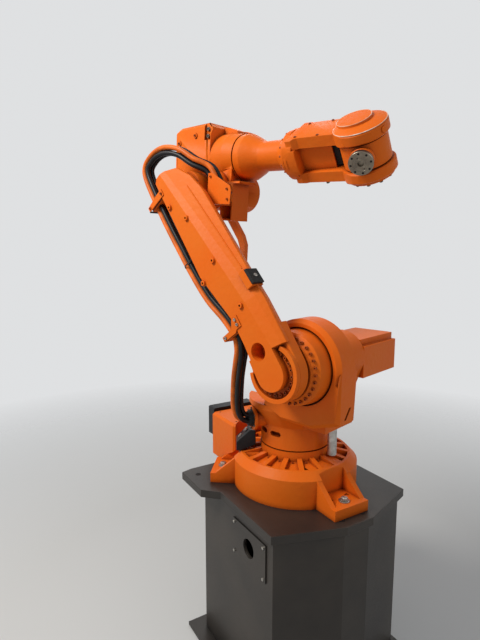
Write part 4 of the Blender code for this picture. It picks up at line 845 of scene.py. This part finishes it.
# Base: stop block and foot bolts
stopLine = [(0.2055, 0.206), (0.282, 0.1738), (0.3045, 0.1738), (0.3045, 0.22), (0.238, 0.2828),
            (0.215, 0.2828), (0.2055, 0.274)]
made("stopBlock", "base", prism(stopLine, -0.0445, 0.0445), 0.0045, "black_plastic",
     ("stop_block",), stopFrame)
footBolt = {
    "reach": 0.378, "washer": [(0.026, 0.0503), (0.026, 0.0543)], "washerSides": 40,
    "head": [(0.016464, 0.0543), (0.0168, 0.0553), (0.0168, 0.0663), (0.014448, 0.0693), (0.0084, 0.0699)],
}
for label, angle in (("front", 0.0), ("left", 128.5), ("right", -128.5)):
    spot = (footBolt["reach"], 0, 0)
    shapes = [turned(footBolt["washer"], footBolt["washerSides"], "Z", spot),
              turned(footBolt["head"], 6, "Z", spot)]
    made("footBolt" + label.title(), "base", shapes, 0.0008, "bare_steel", replaced=("foot_bolt_" + label,),
         frameOf=stand(base, (0, 0, 0), "Z", angle))

# Turret: collar and boot where the hoses come out
collar = [(0.047, -0.01), (0.06, -0.008), (0.06, 0.003), (0.058, 0.005), (0.045, 0.005), (0.043, 0.003),
          (0.043, -0.01)]
made("entryCollar", "turret", turned(collar, 48, "Z", closed=True), frameOf=entryFrame)
boot = [(0.0425, -0.004), (0.0425, 0.008), (0.04, 0.012), (0.04, 0.018), (0.037, 0.022),
        (0.0345, 0.028), (0.033, 0.029)]
made("entryBoot", "turret", turned(boot, 40, "Z"), 0, "black_rubber", frameOf=entryFrame)

# Axis 1 motor: a finned body with cut corners, and a plug box
motorSpec = {
    "at": (-0.12, 0.09), "half": 0.0585, "cut": 0.016, "from": 0.4555, "to": 0.7385, "fins": 11,
    "finDeep": 0.0045, "finLow": 0.035, "finHigh": 0.05, "lip": 0.006,
    "plug": ((-0.1795, 0.065, 0.66), (-0.15, 0.115, 0.7)),
}


def motorBody(bm):
    spec = motorSpec
    cut, deep = spec["cut"], spec["finDeep"]
    low, high = spec["from"] + spec["finLow"], spec["to"] - spec["finHigh"]
    heights = [(spec["from"], 0.0), (low, 0.0)]
    for i in range(spec["fins"]):
        z = low + (high - low) * i / spec["fins"]
        step = (high - low) / spec["fins"]
        heights += [(z + step * 0.1, deep), (z + step * 0.45, deep), (z + step * 0.55, 0.0),
                    (z + step, 0.0)]
    heights += [(spec["to"] - spec["lip"], 0.0), (spec["to"], spec["lip"])]
    rings = []
    for z, inset in heights:
        h = spec["half"] - inset
        k = h - cut
        ring = [(k, -h), (h, -k), (h, k), (k, h), (-k, h), (-h, k), (-h, -k), (-k, -h)]
        rings.append([(spec["at"][0] + u, spec["at"][1] + v, z) for u, v in ring])
    skin(bm, rings)


made("motorOne", "turret", motorBody, 0.001, "black_paint", replaced=("axis1_motor",))
made("motorPlug", "turret", slab(*motorSpec["plug"]), 0.003, "black_plastic")

# Connector block: a stepped body, round sockets above and latches below
plugSpec = {
    "body": [(-0.224, 0.1205), (0.049, 0.1205), (0.049, 0.28), (0.04, 0.2845), (-0.215, 0.2845),
             (-0.224, 0.28)],
    "step": [(-0.215, 0.129), (0.04, 0.129), (0.04, 0.276), (-0.215, 0.276)],
    "socket": [(0.02, -0.55), (0.02, -0.558), (0.018, -0.5595), (0.0135, -0.5595), (0.013, -0.556)],
    "socketsAt": (-0.18, -0.1225, -0.065, -0.0075), "latchesAt": (-0.165, -0.09, -0.015),
}
made("plugBlock", "base", [prism(plugSpec["body"], -0.545, -0.4754, "YZ"),
                           prism(plugSpec["step"], -0.556, -0.544, "YZ")], 0.002, "black_plastic",
     ("connector_block",))
sockets = [turned(plugSpec["socket"], 24, "X", (0, y, 0.235)) for y in plugSpec["socketsAt"]]
made("plugFaces", "base", sockets, 0, "bare_steel")
latches = [slab((-0.5595, y - 0.02, 0.15), (-0.55, y + 0.02, 0.192)) for y in plugSpec["latchesAt"]]
made("plugLatches", "base", latches, 0.002, "bare_steel")
print("castings detailed")

# Hoses: the same routes as the CAD's, in the frames of what carries them
hoseSpec = {
    "pitch": 0.014, "blackRadius": 0.0125, "paintedRadius": 0.011, "sides": 16, "steps": 8,
    "bundleY": -0.395, "lowX": -0.1043, "highX": -0.1933, "lead": 0.0165, "seam": 0.0003, "lowFoot": 0.236,
    "lowTop": 0.259, "highFoot": 1.038, "highTop": 1.067, "glandAt": (0.15, -0.2927, -0.012),
    "glandLean": 142.0, "loopSplit": 5,
    "turretBend": [(-0.10687, -0.20974, 0.36), (-0.11441, -0.22454, 0.36), (-0.129, -0.27, 0.382),
                   (-0.123, -0.302, 0.448), (-0.08, -0.342, 0.584), (-0.032, -0.378, 0.68),
                   (-0.0075, -0.393, 0.742)],
    "armBend": [(-0.12, 0.35), (-0.158, 0.47), (-0.178, 0.62), (-0.188, 0.8), (-0.193, 0.93)],
    "loopBend": [(-0.292, -0.393, 0.07), (-0.262, -0.386, 0.14), (-0.185, -0.372, 0.178),
                 (-0.085, -0.355, 0.168), (0.005, -0.335, 0.122), (0.083, -0.2975, 0.084)],
}


def seenFrom(other, x, z):
    return tuple(other.inverted() @ lowerArm @ Vector((x, hoseSpec["bundleY"], z)))


def hoseRoutes():
    spec = hoseSpec
    gap, lead, y = spec["seam"], spec["seam"] + spec["lead"], spec["bundleY"]
    lean = math.radians(spec["glandLean"])
    towards = Vector((-math.sin(lean), 0, -math.cos(lean)))
    into = [tuple(Vector(spec["glandAt"]) + towards * g) for g in (lead, gap)]
    toStrap = [seenFrom(turret, spec["lowX"], spec["lowFoot"] - g) for g in (lead, gap)]
    fromStrap = [seenFrom(upperArm, spec["highX"], spec["highTop"] + g) for g in (gap, lead)]
    foot = [(spec["lowX"], y, spec["lowTop"] + g) for g in (gap, lead)]
    head = [(spec["highX"], y, spec["highFoot"] - g) for g in (lead, gap)]
    return {
        "turret": spec["turretBend"] + toStrap,
        "arm": foot + [(x, y, z) for x, z in spec["armBend"]] + head,
        "loop": fromStrap + spec["loopBend"] + into,
    }


routes = hoseRoutes()


def smoothLine(route, steps):
    points = [Vector(p) for p in route]
    ends = [points[0] * 2 - points[1]] + points + [points[-1] * 2 - points[-2]]
    line = []
    for i in range(1, len(ends) - 2):
        a, b, c, d = ends[i - 1:i + 3]
        count = 1 if i in (1, len(ends) - 3) else steps
        for k in range(count):
            t = k / count
            bend = (b * 2) + (c - a) * t + (a * 2 - b * 5 + c * 4 - d) * t ** 2
            bend += (b * 3 - a - c * 3 + d) * t ** 3
            line.append((i - 1 + t, 0.5 * bend))
    line.append((len(points) - 1, points[-1]))
    return line


def hoseMesh(route, across, place, radius, sides, first=0.0, last=99.0):
    line = smoothLine(route, hoseSpec["steps"])
    end = len(line) - 1
    rings = []
    for i, (mark, p) in enumerate(line):
        behind = end - 1 if i == end - 1 else max(i - 1, 0)
        ahead = 1 if i == 1 else min(i + 1, end)
        along = (line[ahead][1] - line[behind][1]).normalized()
        if across == "X":
            side = (Vector((1, 0, 0)) - along * along.x).normalized()
        else:
            side = Vector((0, 1, 0)).cross(along).normalized()
        if not first - 0.001 <= mark <= last + 0.001:
            continue
        center = p + side * place[0] + along.cross(side) * place[1]
        rings.append([center + (side * math.cos(t) + along.cross(side) * math.sin(t)) * radius
                      for t in (2 * math.pi * k / sides for k in range(sides))])
    bm = bmesh.new()
    rows = [[bm.verts.new(p) for p in ring] for ring in rings]
    for low, high in zip(rows[:-1], rows[1:]):
        for k in range(sides):
            bm.faces.new((low[k], low[(k + 1) % sides], high[(k + 1) % sides], high[k]))
    bm.faces.new(rows[0][::-1])
    bm.faces.new(rows[-1])
    bmesh.ops.recalc_face_normals(bm, faces=bm.faces[:])
    mesh = bpy.data.meshes.new("hose")
    bm.to_mesh(mesh)
    bm.free()
    mesh.shade_smooth()
    mesh.set_sharp_from_angle(angle=math.radians(50))
    return mesh, [r[0] for r in rings]


def layHoses():
    pitch = hoseSpec["pitch"]
    places = [("black", 1, (-pitch, -pitch)), ("black", 2, (pitch, -pitch)), ("black", 3, (-pitch, pitch)),
              ("painted", 0, (pitch, pitch))]
    oversprayed = 1
    split = hoseSpec["loopSplit"]
    for kind, number, place in places:
        finish = "painted_hose" if number == oversprayed else "hose_rubber"
        radius = hoseSpec[kind + "Radius"]
        for stretch, frameOf, across in (("turret", turret, "X"), ("arm", lowerArm, "Y"),
                                         ("loop", upperArm, "Y")):
            route = routes[stretch]
            node = f"hose_black_{stretch}_{number}" if number else f"hose_painted_{stretch}"
            spans = [("", 0, 99, None)]
            if stretch == "turret":
                spans = [("", 0, 99, ("turret", "lower_arm"))]
            if stretch == "loop":
                spans = [("Rear", 0, split, ("lower_arm", "elbow")),
                         ("Front", split, 99, ("elbow", "upper_arm"))]
            for label, first, last, pair in spans:
                mesh, marks = hoseMesh(route, across, place, radius, hoseSpec["sides"], first, last)
                mesh.transform(frameOf)
                name = f"hose{stretch.title()}{label}{number}"
                covers = (node,) if label in ("", "Rear") else ()
                piece = placed(name, mesh, None if pair else "lower_arm", finish, covers)
                if pair:
                    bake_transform(piece)


layHoses()
print("hoses laid")

# Floor and light
stageSpec = {
    "radius": 9.0, "fadeFrom": 1.8, "fadeTo": 5.5, "floor": (0.66, 0.66, 0.65), "floorRough": 0.85,
    "backdrop": (0.74, 0.75, 0.76), "fill": 0.3, "fillColor": (0.95, 0.97, 1.0), "aimHeight": 1.7,
    "lamps": [
        ("keyLamp", (-0.6, -3.4, 4.9), 1.7, 185.0, (1.0, 0.97, 0.92)),
        ("fillLamp", (3.6, 0.6, 3.4), 2.6, 18.0, (0.95, 0.98, 1.0)),
        ("rearLamp", (-2.8, 1.6, 4.2), 2.2, 26.0, (1.0, 1.0, 1.0)),
    ],
}


def addStage():
    bm = bmesh.new()
    bmesh.ops.create_circle(bm, cap_ends=True, segments=96, radius=stageSpec["radius"])
    mesh = bpy.data.meshes.new("floor")
    bm.to_mesh(mesh)
    bm.free()
    mat, tree, shader, where = newMaterial("paleFloor")
    add, link = tree.nodes.new, tree.links.new
    shader.inputs["Base Color"].default_value = (*stageSpec["floor"], 1)
    shader.inputs["Roughness"].default_value = stageSpec["floorRough"]
    length = add("ShaderNodeVectorMath")
    length.operation = "LENGTH"
    link(where, length.inputs[0])
    fade = scaled(tree, length.outputs["Value"], 0.0, 1.0, stageSpec["fadeFrom"], stageSpec["fadeTo"])
    clear, mix = add("ShaderNodeBsdfTransparent"), add("ShaderNodeMixShader")
    link(fade, mix.inputs["Fac"])
    link(shader.outputs[0], mix.inputs[1])
    link(clear.outputs[0], mix.inputs[2])
    out = next(n for n in tree.nodes if n.type == "OUTPUT_MATERIAL")
    link(mix.outputs[0], out.inputs["Surface"])
    mesh.materials.append(mat)
    floor = bpy.data.objects.new("paleFloor", mesh)
    floor.location = (0, 0, -0.0005)
    scene.collection.objects.link(floor)


def addLight():
    world = bpy.data.worlds.new("studio")
    scene.world = world
    world.use_nodes = True
    tree = world.node_tree
    tree.nodes.clear()
    add, link = tree.nodes.new, tree.links.new
    out = add("ShaderNodeOutputWorld")
    light, seen = add("ShaderNodeBackground"), add("ShaderNodeBackground")
    light.inputs["Color"].default_value = (*stageSpec["fillColor"], 1)
    light.inputs["Strength"].default_value = stageSpec["fill"]
    seen.inputs["Color"].default_value = (*stageSpec["backdrop"], 1)
    path, mix = add("ShaderNodeLightPath"), add("ShaderNodeMixShader")
    first, second = add("ShaderNodeMath"), add("ShaderNodeMath")
    first.operation = second.operation = "MAXIMUM"
    link(path.outputs["Is Camera Ray"], first.inputs[0])
    link(path.outputs["Is Glossy Ray"], first.inputs[1])
    link(first.outputs[0], second.inputs[0])
    link(path.outputs["Is Transmission Ray"], second.inputs[1])
    link(second.outputs[0], mix.inputs["Fac"])
    link(light.outputs[0], mix.inputs[1])
    link(seen.outputs[0], mix.inputs[2])
    link(mix.outputs[0], out.inputs["Surface"])
    aim = Vector((0, 0, stageSpec["aimHeight"]))
    for name, at, size, power, color in stageSpec["lamps"]:
        data = bpy.data.lights.new(name, "AREA")
        data.shape = "DISK"
        data.size = size
        data.energy = power
        data.color = color
        lamp = bpy.data.objects.new(name, data)
        lamp.location = at
        lamp.rotation_euler = (aim - Vector(at)).to_track_quat("-Z", "Y").to_euler()
        scene.collection.objects.link(lamp)


addStage()
addLight()
scene.view_settings.view_transform = "Standard"
print("stage and light set")
